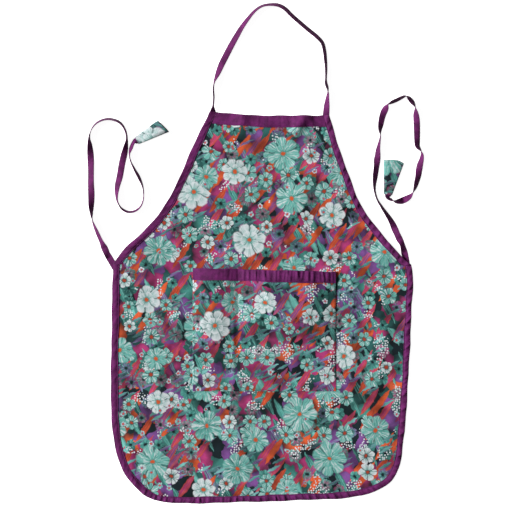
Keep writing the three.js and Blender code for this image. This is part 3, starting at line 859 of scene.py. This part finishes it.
# Leaves of the print: width, length, the way they lie, the share of places, how closely they are stroked and
# where the layer starts, then the colours of leaves, rims and ribs
Leaf = namedtuple("Leaf", "width length heading share strokes x y shades rim rib")
FULL_TURN = 6.3  # radians
PETAL_SIZES = (0.72, 1.15)  # shares of a blossom's radius, the smallest and the largest
PETAL_EDGE = (0.94, 1.04)  # shares of a petal's reach, between which it ends
LEAF_EDGE = (0.88, 1.08)  # shares of a leaf's half width, between which it ends
LEAF_TAPER = -1.5  # times the square of the way along a leaf
LEAF_HALF = 0.38  # half width of a leaf at its middle, as a share of its cell
MOTIF_WANDER = 6.0  # how far the outlines of leaves and blossoms wander
GROUND_CELL = 32.0
GROUND_BEND = 40.0
DOT_CELL = 5.6
DOT_EDGE = (0.24, 0.36)  # shares of a dot's cell, between which it ends
DOT_LEAST = 0.62  # the dots lie where a cloud is thicker than this


def scattered(tree, place, scale, randomness):
    """Scattered places. Gives the way from the nearest one, the parts of that way, and three chances."""
    cell = {"Vector": place, "Scale": scale, "Randomness": randomness}
    cells = add(tree, "ShaderNodeTexVoronoi", cell, voronoi_dimensions="2D").outputs
    local = add(tree, "ShaderNodeVectorMath", {0: place, 1: cells["Position"]}, operation="SUBTRACT")
    axes = add(tree, "ShaderNodeSeparateXYZ", {0: local}).outputs
    chance = add(tree, "ShaderNodeSeparateColor", {0: cells["Color"]}).outputs
    return local, axes, chance


def stroked(tree, spread, shade, bright, dim):
    """Brush strokes, bright and dim, along the second axis of a place."""
    streak = add(tree, "ShaderNodeTexNoise", {0: spread, "Scale": 1.0, "Detail": 2.0})
    tints = [Tint(streak, 0.5, 0.66, 0, 0.85, bright), Tint(streak, 0.42, 0.3, 0, 0.8, dim)]
    return tinted(tree, shade, tints)


def overlaid(tree, below, shade, share, edge, chance, often):
    """Lays a motif over what lies below: within its edge, and where a chance is less than the given one."""
    inside = {"Value": share, "From Min": edge[0], "From Max": edge[1], "To Min": 1.0, "To Max": 0.0}
    within = add(tree, "ShaderNodeMapRange", inside)
    here = add(tree, "ShaderNodeMath", {0: chance, 1: often}, operation="LESS_THAN")
    mask = add(tree, "ShaderNodeMath", {0: within, 1: here}, operation="MULTIPLY")
    return add(tree, "ShaderNodeMix", {0: mask, 6: below, 7: shade}, data_type="RGBA").outputs[2]


def blossoms(tree, place, below, row):
    """A layer of round blossoms with broad petals, scattered at random over what lies below."""
    start = add(tree, "ShaderNodeVectorMath", {0: place, 1: (row.x, row.y, 0)})
    local, axes, chance = scattered(tree, start, 1 / row.cell, 0.8)
    radius = add(tree, "ShaderNodeVectorMath", {0: local}, operation="LENGTH").outputs["Value"]
    angle = add(tree, "ShaderNodeMath", {0: axes[1], 1: axes[0]}, operation="ARCTAN2")
    turned = add(tree, "ShaderNodeMath", {0: chance[2], 1: FULL_TURN, 2: angle}, operation="MULTIPLY_ADD")
    half = add(tree, "ShaderNodeMath", {0: turned, 1: row.petals / 2}, operation="MULTIPLY")
    cosine = add(tree, "ShaderNodeMath", {0: half}, operation="COSINE")
    lobe = add(tree, "ShaderNodeMath", {0: cosine}, operation="ABSOLUTE")
    full = add(tree, "ShaderNodeMath", {0: lobe, 1: 0.5}, operation="POWER")
    small, large = [share * row.radius for share in PETAL_SIZES]
    size = add(tree, "ShaderNodeMapRange", {"Value": chance[1], "To Min": small, "To Max": large})
    reach = add(tree, "ShaderNodeMapRange", {"Value": full, "To Min": 1 - row.parted, "To Max": 1.0})
    limit = add(tree, "ShaderNodeMath", {0: reach, 1: size}, operation="MULTIPLY")
    share = add(tree, "ShaderNodeMath", {0: radius, 1: limit}, operation="DIVIDE")
    petal = add(tree, "ShaderNodeValToRGB", {0: chance[1]}, row.petal)
    tip = add(tree, "ShaderNodeValToRGB", {0: chance[2]}, row.tip)
    fade = add(tree, "ShaderNodeMapRange", {"Value": share, "From Min": 0.2, "From Max": 1.0})
    shade = add(tree, "ShaderNodeMix", {0: fade, 6: petal, 7: tip}, data_type="RGBA").outputs[2]
    round_it = add(tree, "ShaderNodeMath", {0: turned, 1: row.strokes}, operation="MULTIPLY")
    spread = add(tree, "ShaderNodeCombineXYZ", {0: round_it, 1: share, 2: chance[0]})
    shade = stroked(tree, spread, shade, row.stroke, row.parting)
    tints = [
        Tint(lobe, 0, 0.4, 0.9, 0, row.parting),
        Tint(radius, 1.1 * row.heart, 1.9 * row.heart, 0.85, 0, row.parting),
        Tint(radius, 0.8 * row.heart, 1.15 * row.heart, 1, 0, row.core),
    ]
    return overlaid(tree, below, tinted(tree, shade, tints), share, PETAL_EDGE, chance[0], row.share)


def leaves(tree, place, below, row):
    """A layer of pointed leaves, all lying much the same way."""
    lie = {
        0: place,
        "Location": (row.x, row.y, 0),
        "Rotation": (0, 0, math.radians(row.heading)),
        "Scale": (row.width, row.length, 1),
    }
    laid = add(tree, "ShaderNodeMapping", lie, vector_type="TEXTURE")
    _, axes, chance = scattered(tree, laid, 1.0, 0.85)
    along = add(tree, "ShaderNodeMath", {0: axes[1], 1: axes[1]}, operation="MULTIPLY")
    taper = add(tree, "ShaderNodeMath", {0: along, 1: LEAF_TAPER, 2: LEAF_HALF}, operation="MULTIPLY_ADD")
    limit = add(tree, "ShaderNodeMath", {0: taper, 1: 0.001}, operation="MAXIMUM")
    across = add(tree, "ShaderNodeMath", {0: axes[0]}, operation="ABSOLUTE")
    share = add(tree, "ShaderNodeMath", {0: across, 1: limit}, operation="DIVIDE")
    shade = add(tree, "ShaderNodeValToRGB", {0: chance[1]}, row.shades)
    wide = add(tree, "ShaderNodeMath", {0: axes[0], 1: row.strokes}, operation="MULTIPLY")
    spread = add(tree, "ShaderNodeCombineXYZ", {0: wide, 1: axes[1], 2: chance[0]})
    shade = stroked(tree, spread, shade, row.rib, row.rim)
    tints = [Tint(share, 0.35, 1, 0, 0.7, row.rim), Tint(across, 0, 0.06, 0.7, 0, row.rib)]
    return overlaid(tree, below, tinted(tree, shade, tints), share, LEAF_EDGE, chance[0], row.share)


def ground(tree, place, shades, rim):
    """Patches of plain colour with bent borders, each darker towards its rim."""
    bend = add(tree, "ShaderNodeTexNoise", {0: place, "Scale": 0.035, "Detail": 2.0}).outputs["Color"]
    shift = {0: bend, 1: (GROUND_BEND, GROUND_BEND, 0), 2: place}
    bent = add(tree, "ShaderNodeVectorMath", shift, operation="MULTIPLY_ADD")
    cell = {"Vector": bent, "Scale": 1 / GROUND_CELL}
    cells = add(tree, "ShaderNodeTexVoronoi", cell, voronoi_dimensions="2D").outputs
    chance = add(tree, "ShaderNodeSeparateColor", {0: cells["Color"]})
    shade = add(tree, "ShaderNodeValToRGB", {0: chance}, shades)
    return tinted(tree, shade, [Tint(cells["Distance"], 0.25, 0.8, 0, 0.85, rim)])


def dots(tree, place, below, shade):
    """Clusters of small dots."""
    cell = {"Vector": place, "Scale": 1 / DOT_CELL, "Randomness": 0.7}
    cells = add(tree, "ShaderNodeTexVoronoi", cell, voronoi_dimensions="2D").outputs
    cluster = add(tree, "ShaderNodeTexNoise", {0: place, "Scale": 0.021, "Detail": 1.0})
    return overlaid(tree, below, (*shade, 1), cells["Distance"], DOT_EDGE, DOT_LEAST, cluster)


def print_rows(c):
    """The print's layers above its ground, from the lowest up: those under the wash, and those over it."""
    cool = [(0.0, c.teal), (0.4, c.purple), (0.6, c.pine), (0.85, c.aqua)]
    warm = [(0.0, c.magenta), (0.4, c.orange), (0.55, c.purple), (0.75, c.red)]
    small = [(0.0, c.teal), (0.4, c.purple), (0.6, c.magenta), (0.82, c.pine)]
    small_tip = [(0.0, c.teal), (0.45, c.pine), (0.7, c.purple), (0.85, c.magenta)]
    pale = [(0.0, c.aqua), (0.55, c.teal), (0.75, c.aqua)]
    pale_tip = [(0.0, c.aqua), (0.5, c.white), (0.75, c.aqua)]
    under = [
        Leaf(21, 66, 28, 0.6, 9, 5, 9, cool, c.deep, c.aqua),
        Leaf(19, 74, -34, 0.7, 8, 95, 130, warm, c.red, c.orange),
        Blossom(33, 15.5, 6, 0.5, 0.28, 4, 3.2, 31, 77, small, small_tip, c.aqua, c.pine, c.deep),
        Leaf(10, 34, 118, 0.22, 6, 33, 320, cool, c.purple, c.aqua),
    ]
    over = [
        Blossom(44, 18, 6, 0.5, 0.34, 6, 3.6, 212, 141, pale, pale_tip, c.white, c.deep, c.red),
        Blossom(98, 34, 7, 0.6, 0.26, 9, 5, 57, 311, pale, pale_tip, c.white, c.pine, c.deep),
        Blossom(98, 19, 5, 0.6, 0.3, 6, 4.4, 57, 311, pale, pale_tip, c.white, c.teal, c.orange),
        Blossom(20, 6.5, 5, 0.1, 0.4, 2, 2, 401, 23, pale_tip, pale_tip, c.white, c.purple, c.orange),
    ]
    return under, over


def print_material(name, colours, sizes, fade):
    """Plain-woven cotton, screen printed with blossoms and leaves: matt, its ground deeper and paler in
    places as if washed in, its colours soft where the ink sank in. Threads of 0.4 mm are drawn coarser, to
    show. The wrong side has the print paler: partly as the real wrong side of a print, and partly as painted
    light, which lifts the shaded lining inside the cones."""
    made, tree, shader = blank_material(name)
    place = cut_place(tree)
    wobble = add(tree, "ShaderNodeTexNoise", {0: place, "Scale": 0.11, "Detail": 2.0}).outputs["Color"]
    shift = {0: wobble, 1: (MOTIF_WANDER, MOTIF_WANDER, 0), 2: place}
    soft = add(tree, "ShaderNodeVectorMath", shift, operation="MULTIPLY_ADD")
    c = colours
    patches = [(0.0, c.pine), (0.15, c.purple), (0.4, c.magenta), (0.64, c.teal), (0.72, c.deep)]
    shade = ground(tree, place, [*patches, (0.92, c.orange)], c.deep)
    under, over = print_rows(c)
    for row in under:
        layer = blossoms if isinstance(row, Blossom) else leaves
        shade = layer(tree, soft, shade, row)
    wash = add(tree, "ShaderNodeTexNoise", {0: place, "Scale": 0.022, "Detail": 2.0})
    pooled = {"Value": wash, "From Min": 0.36, "From Max": 0.64, "To Min": 0.5, "To Max": 1.45}
    depth = add(tree, "ShaderNodeMapRange", pooled)
    shade = add(tree, "ShaderNodeVectorMath", {0: shade, "Scale": depth}, operation="SCALE")
    shade = dots(tree, place, shade, c.white)
    for row in over:
        shade = blossoms(tree, soft, shade, row)
    ink = add(tree, "ShaderNodeTexNoise", {0: place, "Scale": 0.35, "Detail": 6.0, "Roughness": 0.75})
    shade = tinted(tree, shade, [Tint(ink, 0.5, 0.85, 0, 0.5, c.deep)])
    # The wrong side's paler print is partly real and partly painted light, which lifts the shaded lining
    # inside the cones
    if fade:
        paler = {0: fade, 6: shade, 7: (*c.reverse, 1)}
        shade = add(tree, "ShaderNodeMix", paler, data_type="RGBA").outputs[2]
    looks = {
        "Base Color": shade,
        "Normal": woven_bump(tree, place, sizes.weave / MM, 0, 0.45),
        "Roughness": 0.85,
        "Specular IOR Level": 0.15,
        "Sheen Weight": 0.03,
    }
    fill(tree, shader, looks)
    return made


def floor_material(name, shade):
    """White acrylic sheet of a light table: matt and pale, a trace of grain, lit a little from below."""
    made, tree, shader = blank_material(name)
    stops = [(0.3, [FLOOR_GRAIN * v for v in shade]), (0.7, tuple(shade))]
    looks = {
        "Base Color": grained(tree, 40.0, 3.0, stops),
        "Roughness": 0.9,
        "Specular IOR Level": 0.1,
        "Emission Color": (1, 1, 1, 1),
        "Emission Strength": 0.88,
    }
    fill(tree, shader, looks)
    return made


def material(name, make, *facts):
    """The material of that name, made when it is first asked for."""
    return bpy.data.materials.get(name) or make(name, *facts)


def printed(scene):
    """The print's right side and its wrong side."""
    facts = (scene.apron_colours, scene.apron_sizes)
    return [
        material("printed cotton", print_material, *facts, 0.0),
        # This fade is partly the real paleness of a wrong side and partly painted light on the shaded lining
        # of the cones
        material("printed cotton, wrong side", print_material, *facts, 0.75),
    ]


def plain(scene):
    return [material("purple bias tape", tape_material, scene.apron_colours, scene.apron_sizes)]


def sewing_thread(scene):
    return material("purple sewing thread", thread_material, tuple(scene.apron_colours.thread))


# Pieces


class APRON_OT_panel(bpy.types.Operator):
    """Makes the printed panel, bib and skirt in one"""

    bl_idname = "apron.panel"
    bl_label = "Panel"

    rim_out = 0.3  # how far the cut edge is rounded out

    def execute(self, context):
        inset = OUTLINE + FOLD * self.inward()
        marks = np.cumsum([0] + [len(line) - 1 for line in EDGES.values()])
        right = inset[marks[0] : marks[1] + 1]
        top = inset[marks[1] : marks[2] + 1]
        left = inset[marks[2] : marks[3] + 1]
        skirt = np.vstack([inset[marks[3] :], inset[:1]])
        turns = [int(np.argmin(np.linalg.norm(skirt - turn, axis=1))) for turn in SKIRT_TURNS]
        upper, lower = PANEL_ROWS
        sides = []
        for armhole, side in ((left, skirt[: turns[0] + 1]), (right[::-1], skirt[: turns[1] - 1 : -1])):
            sides.append(np.vstack([evenly(armhole, upper), evenly(side, lower)[1:]]))
        ends = [evenly(top[::-1], PANEL_COLUMNS), evenly(skirt[turns[0] : turns[1] + 1], PANEL_COLUMNS)]
        plan = self.patch(*sides, *ends)
        thickness = context.scene.apron_sizes.cloth / MM
        cotton = printed(context.scene)
        made = cloth_piece(
            "body_panel_cotton", plan, panel_height(plan), thickness, self.rim_out, plan, cotton
        )
        settled(made, PRINT_SLOT, "body_panel")
        return {"FINISHED"}

    @staticmethod
    def inward():
        """Ways into the panel from each point of its outline."""
        way = np.roll(OUTLINE, -1, axis=0) - np.roll(OUTLINE, 1, axis=0)
        way /= np.linalg.norm(way, axis=1, keepdims=True)
        return np.stack([-way[:, 1], way[:, 0]], axis=1)

    @staticmethod
    def patch(left, right, top, bottom):
        """Points spread over a plan between its four sides."""
        u = np.linspace(0, 1, len(top))[None, :, None]
        v = np.linspace(0, 1, len(left))[:, None, None]
        across = (1 - u) * left[:, None] + u * right[:, None]
        down = (1 - v) * top[None] + v * bottom[None]
        corners = (1 - v) * ((1 - u) * top[0] + u * top[-1]) + v * ((1 - u) * bottom[0] + u * bottom[-1])
        return across + down - corners


class APRON_OT_bindings(bpy.types.Operator):
    """Makes the tape round the armholes and the skirt, and the deeper band on the bib"""

    bl_idname = "apron.bindings"
    bl_label = "Bindings"

    hem_fade = (-505, -440)  # y, over which the hem's gathers die out up the sides
    side_growth = (-260, 260)  # x, over which the sides' gathers grow
    side_least = 0.2  # their strength at the left

    def execute(self, context):
        sizes = context.scene.apron_sizes
        binding = sizes.binding / MM
        band = sizes.band / MM
        sides = [(SIDE_GATHERS, self.side_strength)]
        hem = [(HEM_GATHERS, self.hem_strength)]
        armhole = Shape(binding, 0.0, DRAWN_IN, sides)
        skirt = Shape(binding, 0.7, DRAWN_IN, sides + hem)
        bib = Shape(band, 0.1, 0.0, [(BIB_GATHERS, self.side_strength)])
        rows = [
            ("armhole_binding_left", "left_armhole", armhole, self.armhole_cuts("left_armhole", 0, -1)),
            ("armhole_binding_right", "right_armhole", armhole, self.armhole_cuts("right_armhole", -1, 0)),
            ("skirt_binding", "skirt", skirt, []),
            ("bib_band", "bib_top", bib, self.band_cuts(binding)),
        ]
        seams = []
        for node, edge, shape, cuts in rows:
            made, seam, length = folded_tape(
                f"{node}_tape", EDGES[edge], shape, cuts, panel_height, plain(context.scene)
            )
            settled(made, TAPE_SLOT, node)
            seams.append((seam, (0, 0, 1)))
        stitched("binding_stitches", seams, TAPE_SLOT, sizes, sewing_thread(context.scene))
        return {"FINISHED"}

    @classmethod
    def hem_strength(cls, points):
        """Full along the hem and none up the sides."""
        return 1 - smoothstep(*cls.hem_fade, points[..., 1])

    @classmethod
    def side_strength(cls, points):
        """Above the hem, the gathers are stronger on the right of the apron."""
        right = smoothstep(*cls.side_growth, points[..., 0])
        return (cls.side_least + (1 - cls.side_least) * right) * (1 - cls.hem_strength(points))

    @staticmethod
    def armhole_cuts(edge, bib_end, waist_end):
        """An armhole's tape ends on the bib's top edge and on the end of the skirt's tape."""
        line = EDGES[edge]
        bib = headings(EDGES["bib_top"])[-1 if bib_end == 0 else 0]
        skirt = headings(EDGES["skirt"])[0 if waist_end == -1 else -1]
        corner = line[waist_end] + (0, GAP)
        return [(line[bib_end], bib), (corner, (-skirt[1], skirt[0]))]

    @classmethod
    def band_cuts(cls, binding):
        """The bib's band ends on the inner edges of the armholes' tapes."""
        cuts = []
        # The point of each armhole two steps below the bib's corner
        for edge, end in (("left_armhole", 2), ("right_armhole", -3)):
            drawn = DRAWN_IN * cls.side_strength(EDGES[edge][end])
            inner = moved(EDGES[edge], binding + GAP - drawn)
            cuts.append((inner[end], headings(inner)[end]))
        return cuts


class APRON_OT_pocket(bpy.types.Operator):
    """Makes the printed patch pocket with its divider, and the band on its mouth"""

    bl_idname = "apron.pocket"
    bl_label = "Pocket"

    # The pocket is cut from another part of the print than the panel behind it
    print_shift = (437.0, 268.0)
    seam_inset = 3.0
    seam_start = 2.0  # below the mouth
    rim_out = 0.4  # how far the cut edge is rounded out
    # How strongly the band is gathered: least at its left, more over one stretch and less again over another
    least = 0.22
    growth = (-110, 40)
    easing = (80, 160)
    eased = 0.3

    def execute(self, context):
        sizes = context.scene.apron_sizes
        thickness = sizes.cloth / MM
        x = np.linspace(POCKET["left"], POCKET["right"], POCKET_COLUMNS)
        x[np.argmin(np.abs(x - POCKET["divider"]))] = POCKET["divider"]
        share = np.linspace(0, 1, POCKET_ROWS)[:, None]
        plan = np.empty((POCKET_ROWS, POCKET_COLUMNS, 2))
        plan[..., 0] = x
        plan[..., 1] = POCKET["bottom"] + share * (self.mouth(x) - FOLD - POCKET["bottom"])
        made = cloth_piece(
            "pocket_panel_cotton",
            plan,
            pocket_height(plan),
            thickness,
            self.rim_out,
            plan + self.print_shift,
            printed(context.scene),
        )
        settled(made, PRINT_SLOT, "pocket_panel")
        band, seam, length = self.band(context)
        settled(band, TAPE_SLOT, "pocket_band")
        seams = [(line, (0, 0, 1)) for line in [seam, *self.seams(thickness)]]
        stitched("pocket_stitches", seams, TAPE_SLOT, sizes, sewing_thread(context.scene))
        return {"FINISHED"}

    @staticmethod
    def mouth(x):
        """Finished top edge of the pocket."""
        share = (x - POCKET["left"]) / (POCKET["right"] - POCKET["left"])
        return POCKET["mouth_left"] + share * (POCKET["mouth_right"] - POCKET["mouth_left"])

    def band(self, context):
        ends = np.array([(POCKET[side], POCKET[f"mouth_{side}"]) for side in ("right", "left")], float)
        cuts = [((POCKET[side], 0), (0, 1)) for side in ("left", "right")]
        shape = Shape(context.scene.apron_sizes.band / MM, 0.1, 0.0, [(POCKET_GATHERS, self.strength)])
        edge = spaced(ends, OUTLINE_STEP)
        return folded_tape("pocket_band_tape", edge, shape, cuts, pocket_height, plain(context.scene))

    @classmethod
    def strength(cls, points):
        """The band is gathered most right of its middle."""
        x = points[..., 0]
        grown = (1 - cls.least) * smoothstep(*cls.growth, x)
        return cls.least + grown - cls.eased * smoothstep(*cls.easing, x)

    def seams(self, thickness):
        """Rows of stitches down the sides, along the foot and down the divider."""
        low = POCKET["bottom"] + self.seam_inset
        left = POCKET["left"] + self.seam_inset
        right = POCKET["right"] - self.seam_inset
        tops = [(x, self.mouth(x) - self.seam_start) for x in (left, right, POCKET["divider"])]
        lines = [[tops[0], (left, low), (right, low), tops[1]], [tops[2], (POCKET["divider"], low)]]
        made = []
        for line in lines:
            plan = spaced(np.array(line, float), TAPE_STEP)
            height = pocket_height(plan) + thickness + STITCH_RISE["pocket"]
            made.append(np.column_stack([plan, height]))
        return made


class APRON_OT_straps(bpy.types.Operator):
    """Makes the neck strap and the two waist ties"""

    bl_idname = "apron.straps"
    bl_label = "Straps"

    def execute(self, context):
        neck = self.sewn(NECK_STRAP)
        seams = self.strap(context, "neck_strap", neck, NECK_LIFT, NECK_LIFT, "bib_band_tape")
        for side, rows in (("left", LEFT_TIE), ("right", RIGHT_TIE)):
            cone = CONES[side]
            way = math.radians(cone.heading)
            came = math.copysign(1, rows[-1][2] - cone.turn)
            tucked = []
            for place, lean in CONE_TUCK:
                x = cone.x + place * math.cos(way)
                y = cone.y + place * math.sin(way)
                tucked.append((x, y, cone.turn + came * lean))
            seams += self.strap(context, f"tie_{side}", rows + tucked, 0, CONE_LIFT, "body_panel_cotton")
        sizes = context.scene.apron_sizes
        stitched("strap_stitches", seams, TAPE_SLOT, sizes, sewing_thread(context.scene))
        return {"FINISHED"}

    @staticmethod
    def sewn(rows):
        """A strap's rows with both ends carried into the tape that they are sewn to."""
        made = np.array(rows, float)
        for end, inner in ((0, 1), (-1, -2)):
            way = made[end, :2] - made[inner, :2]
            made[end, :2] += SEWN_IN * way / np.linalg.norm(way)
        return made

    @staticmethod
    def strap(context, node, rows, start_lift, end_lift, held_by):
        """A folded strap that rests on the surface on a face or an edge, apart from its raised ends."""
        sizes = context.scene.apron_sizes
        width = sizes.strap / MM
        thickness = sizes.strap_thickness / MM
        line = spaced(spline(rows, power=0.5, carried=True), STRAP_STEP)
        along = distances(line)
        length = along[-1]
        way = headings(line)
        turn = np.radians(line[:, 2])
        side = np.column_stack([-way[:, 1] * np.cos(turn), way[:, 0] * np.cos(turn), np.sin(turn)])
        face = np.cross(np.column_stack([way, np.zeros(len(way))]), side)
        rest = (np.abs(np.sin(turn)) * width + np.abs(np.cos(turn)) * thickness) / 2
        rest += start_lift * (1 - smoothstep(0, ROOT_LENGTH, along))
        rest += end_lift * (1 - smoothstep(0, ROOT_LENGTH, length - along))
        middle = np.column_stack([line[:, :2], rest])
        ring = np.array(STRAP_RING)
        curl = STRAP_CURL["flat"] * np.sin(along / STRAP_CURL["wave"] + 1)
        curl += STRAP_CURL["on_edge"] * np.sin(turn) ** STRAP_CURL["power"]
        curl *= smoothstep(*STRAP_CURL["ends"], along) * smoothstep(*STRAP_CURL["ends"], length - along)
        across = ring[:, 0] * width / 2
        up = ring[:, 1] * thickness / 2 + curl[:, None] * (ring[:, 0] ** 2 - STRAP_CURL["about"])
        points = middle[:, None] + side[:, None] * across[:, None] + face[:, None] * up[..., None]
        points[..., 2] = np.maximum(points[..., 2], CLEAR)
        cut = np.stack(np.broadcast_arrays(along[:, None], across + STRAP_WRAP * ring[:, 1]), axis=2)
        faces = tube_faces(len(line), len(ring))
        tape = plain(context.scene)
        made = finished(f"{node}_tape", points.reshape(-1, 3), faces, cut.reshape(-1, 2), tape)
        settled(made, TAPE_SLOT, node)
        front, back = [points[STRAP_SEWN, groove] for groove in STRAP_SEAMS]
        up = face[STRAP_SEWN]
        rise = STITCH_RISE["strap"] * up
        return [(front + rise, up), (back - rise, -up)]


class APRON_OT_cones(bpy.types.Operator):
    """Makes the little cloth cones at the ends of the ties"""

    bl_idname = "apron.cones"
    bl_label = "Cones"

    def execute(self, context):
        seams = []
        for side, cone in CONES.items():
            node = f"tie_cone_{side}"
            outer = [self.ring(cone, share, 0) for share in CONE_SHARES]
            lip = self.ring(cone, CONE_LIP, CONE_WALL / 2)
            inner = [self.ring(cone, share, CONE_WALL) for share in reversed(CONE_SHARES)]
            rings = np.stack([*outer, lip, *inner, outer[0]])
            shares = np.array([*CONE_SHARES, 1.0, *reversed(CONE_SHARES), 0.0])
            steps = np.linalg.norm(np.roll(rings, -1, axis=1) - rings, axis=2)
            round_it = np.cumsum(steps, axis=1) - steps.sum(1, keepdims=True) / 4
            lengthwise = np.broadcast_to(shares[:, None] * cone.length, steps.shape)
            cut = np.stack([cone.print_x + round_it, cone.print_y + lengthwise], axis=2)
            count = len(rings) - 1
            # The inside faces take the wrong side's material, which is paler partly as painted light, so the
            # shaded lining reads lit
            wrong_side = np.arange(count) > len(CONE_SHARES)
            wrong_side[-1] = False
            made = finished(
                f"{node}_cotton",
                rings[:-1].reshape(-1, 3),
                tube_faces(count, CONE_SIDES, looped=True),
                cut[:-1].reshape(-1, 2),
                printed(context.scene),
                np.repeat(wrong_side, CONE_SIDES),
            )
            settled(made, PRINT_SLOT, node)
            hem = self.ring(cone, CONE_HEM, -STITCH_RISE["cone"])
            up = hem - hem.mean(0)
            seams.append((np.vstack([hem, hem[:1]]), np.vstack([up, up[:1]])))
        sizes = context.scene.apron_sizes
        stitched("cone_stitches", seams, PRINT_SLOT, sizes, sewing_thread(context.scene))
        return {"FINISHED"}

    @staticmethod
    def ring(cone, share, wall):
        """A section of a cone, resting on the surface, that far inside its outer face."""
        heading = math.radians(cone.heading)
        way = np.array([math.cos(heading), math.sin(heading), 0])
        side = np.array([-way[1], way[0], 0])
        bent = float(smoothstep(0, 1, share))
        across = CONE_NECK["across"] + share * (cone.mouth_across - CONE_NECK["across"])
        up = CONE_NECK["up"] + bent * (cone.mouth_up - CONE_NECK["up"])
        square = CONE_NECK["square"] + bent * (1 - CONE_NECK["square"])
        angle = np.linspace(0, 2 * math.pi, CONE_SIDES, endpoint=False)
        cosine = np.cos(angle)
        sine = np.sin(angle)
        wave = np.sin(CONE_PLEAT["waves"] * cosine + CONE_PLEAT["twist"] * share)
        pleat = CONE_PLEAT["depth"] * bent * (0.5 + 0.5 * wave) * sine**2
        wide = (across - wall) * np.sign(cosine) * np.abs(cosine) ** square
        tall = np.maximum(up + (up - wall - pleat) * np.sign(sine) * np.abs(sine) ** square, CLEAR)
        bow = cone.bow * bent * sine**2 * (1 - CONE_BOW_SIDE * cosine)
        along = share * (cone.length + bow - cone.lean_across * cosine - cone.lean_up * sine)
        middle = np.array([cone.x, cone.y, 0])
        return middle + along[:, None] * way + wide[:, None] * side + tall[:, None] * np.array([0, 0, 1])


class APRON_OT_stage(bpy.types.Operator):
    """Makes the pale floor, the soft lights and the camera"""

    bl_idname = "apron.stage"
    bl_label = "Stage"

    floor_half = 60.0
    floor_below = 0.0004

    def execute(self, context):
        scene = context.scene
        half = self.floor_half
        corners = [(-half, -half), (half, -half), (half, half), (-half, half)]
        mesh = bpy.data.meshes.new("floor")
        mesh.from_pydata([(x, y, -self.floor_below) for x, y in corners], [], [(0, 1, 2, 3)])
        sheet = material("white acrylic sheet", floor_material, tuple(scene.apron_colours.floor))
        mesh.materials.append(sheet)
        floor = bpy.data.objects.new("floor", mesh)
        scene.collection.objects.link(floor)
        floor.visible_diffuse = False  # the floor throws no light back on the cloth
        for row in LAMPS:
            self.lamp(row)
        world = bpy.data.worlds.new("studio")
        world.use_nodes = True
        tree = world.node_tree
        fill(tree, tree.nodes["Background"], {"Color": (1, 1, 1, 1), "Strength": WORLD_LIGHT})
        scene.world = world
        lens = bpy.data.cameras.new("camera")
        lens.lens = LENS_MM
        lens.sensor_width = SENSOR_MM
        camera = bpy.data.objects.new("camera", lens)
        camera.location = (*VIEW_MIDDLE, VIEW_WIDTH * LENS_MM / SENSOR_MM)
        scene.collection.objects.link(camera)
        scene.camera = camera
        scene.view_settings.view_transform = "Standard"
        return {"FINISHED"}

    @staticmethod
    def lamp(row):
        """A soft square lamp that points at the apron's middle."""
        lamp = bpy.data.lights.new(row.name, "AREA")
        lamp.size = row.size
        lamp.energy = row.power
        made = bpy.data.objects.new(row.name, lamp)
        made.location = row.place
        made.rotation_euler = (-made.location).to_track_quat("-Z", "Y").to_euler()
        bpy.context.scene.collection.objects.link(made)


OPERATORS = (
    APRON_OT_stage,
    APRON_OT_panel,
    APRON_OT_bindings,
    APRON_OT_pocket,
    APRON_OT_straps,
    APRON_OT_cones,
)


class APRON_PT_pieces(bpy.types.Panel):
    """Lists the apron's pieces, sizes and colours"""

    bl_label = "Bib Apron"
    bl_idname = "APRON_PT_pieces"
    bl_space_type = "VIEW_3D"
    bl_region_type = "UI"
    bl_category = "Apron"

    def draw(self, context):
        for operator in OPERATORS:
            self.layout.operator(operator.bl_idname)
        for group in (context.scene.apron_sizes, context.scene.apron_colours):
            for name in group.bl_rna.properties.keys():
                if name not in ("rna_type", "name"):
                    self.layout.prop(group, name)


CLASSES = (ApronSizes, ApronColours, *OPERATORS, APRON_PT_pieces)


def register():
    for made in CLASSES:
        bpy.utils.register_class(made)
    bpy.types.Scene.apron_sizes = PointerProperty(type=ApronSizes)
    bpy.types.Scene.apron_colours = PointerProperty(type=ApronColours)


def unregister():
    del bpy.types.Scene.apron_sizes
    del bpy.types.Scene.apron_colours
    for made in reversed(CLASSES):
        bpy.utils.unregister_class(made)


def main():
    register()
    bpy.ops.apron.stage()
    bpy.ops.apron.panel()
    bpy.ops.apron.bindings()
    bpy.ops.apron.pocket()
    bpy.ops.apron.straps()
    bpy.ops.apron.cones()


if __name__ == "__main__":
    main()
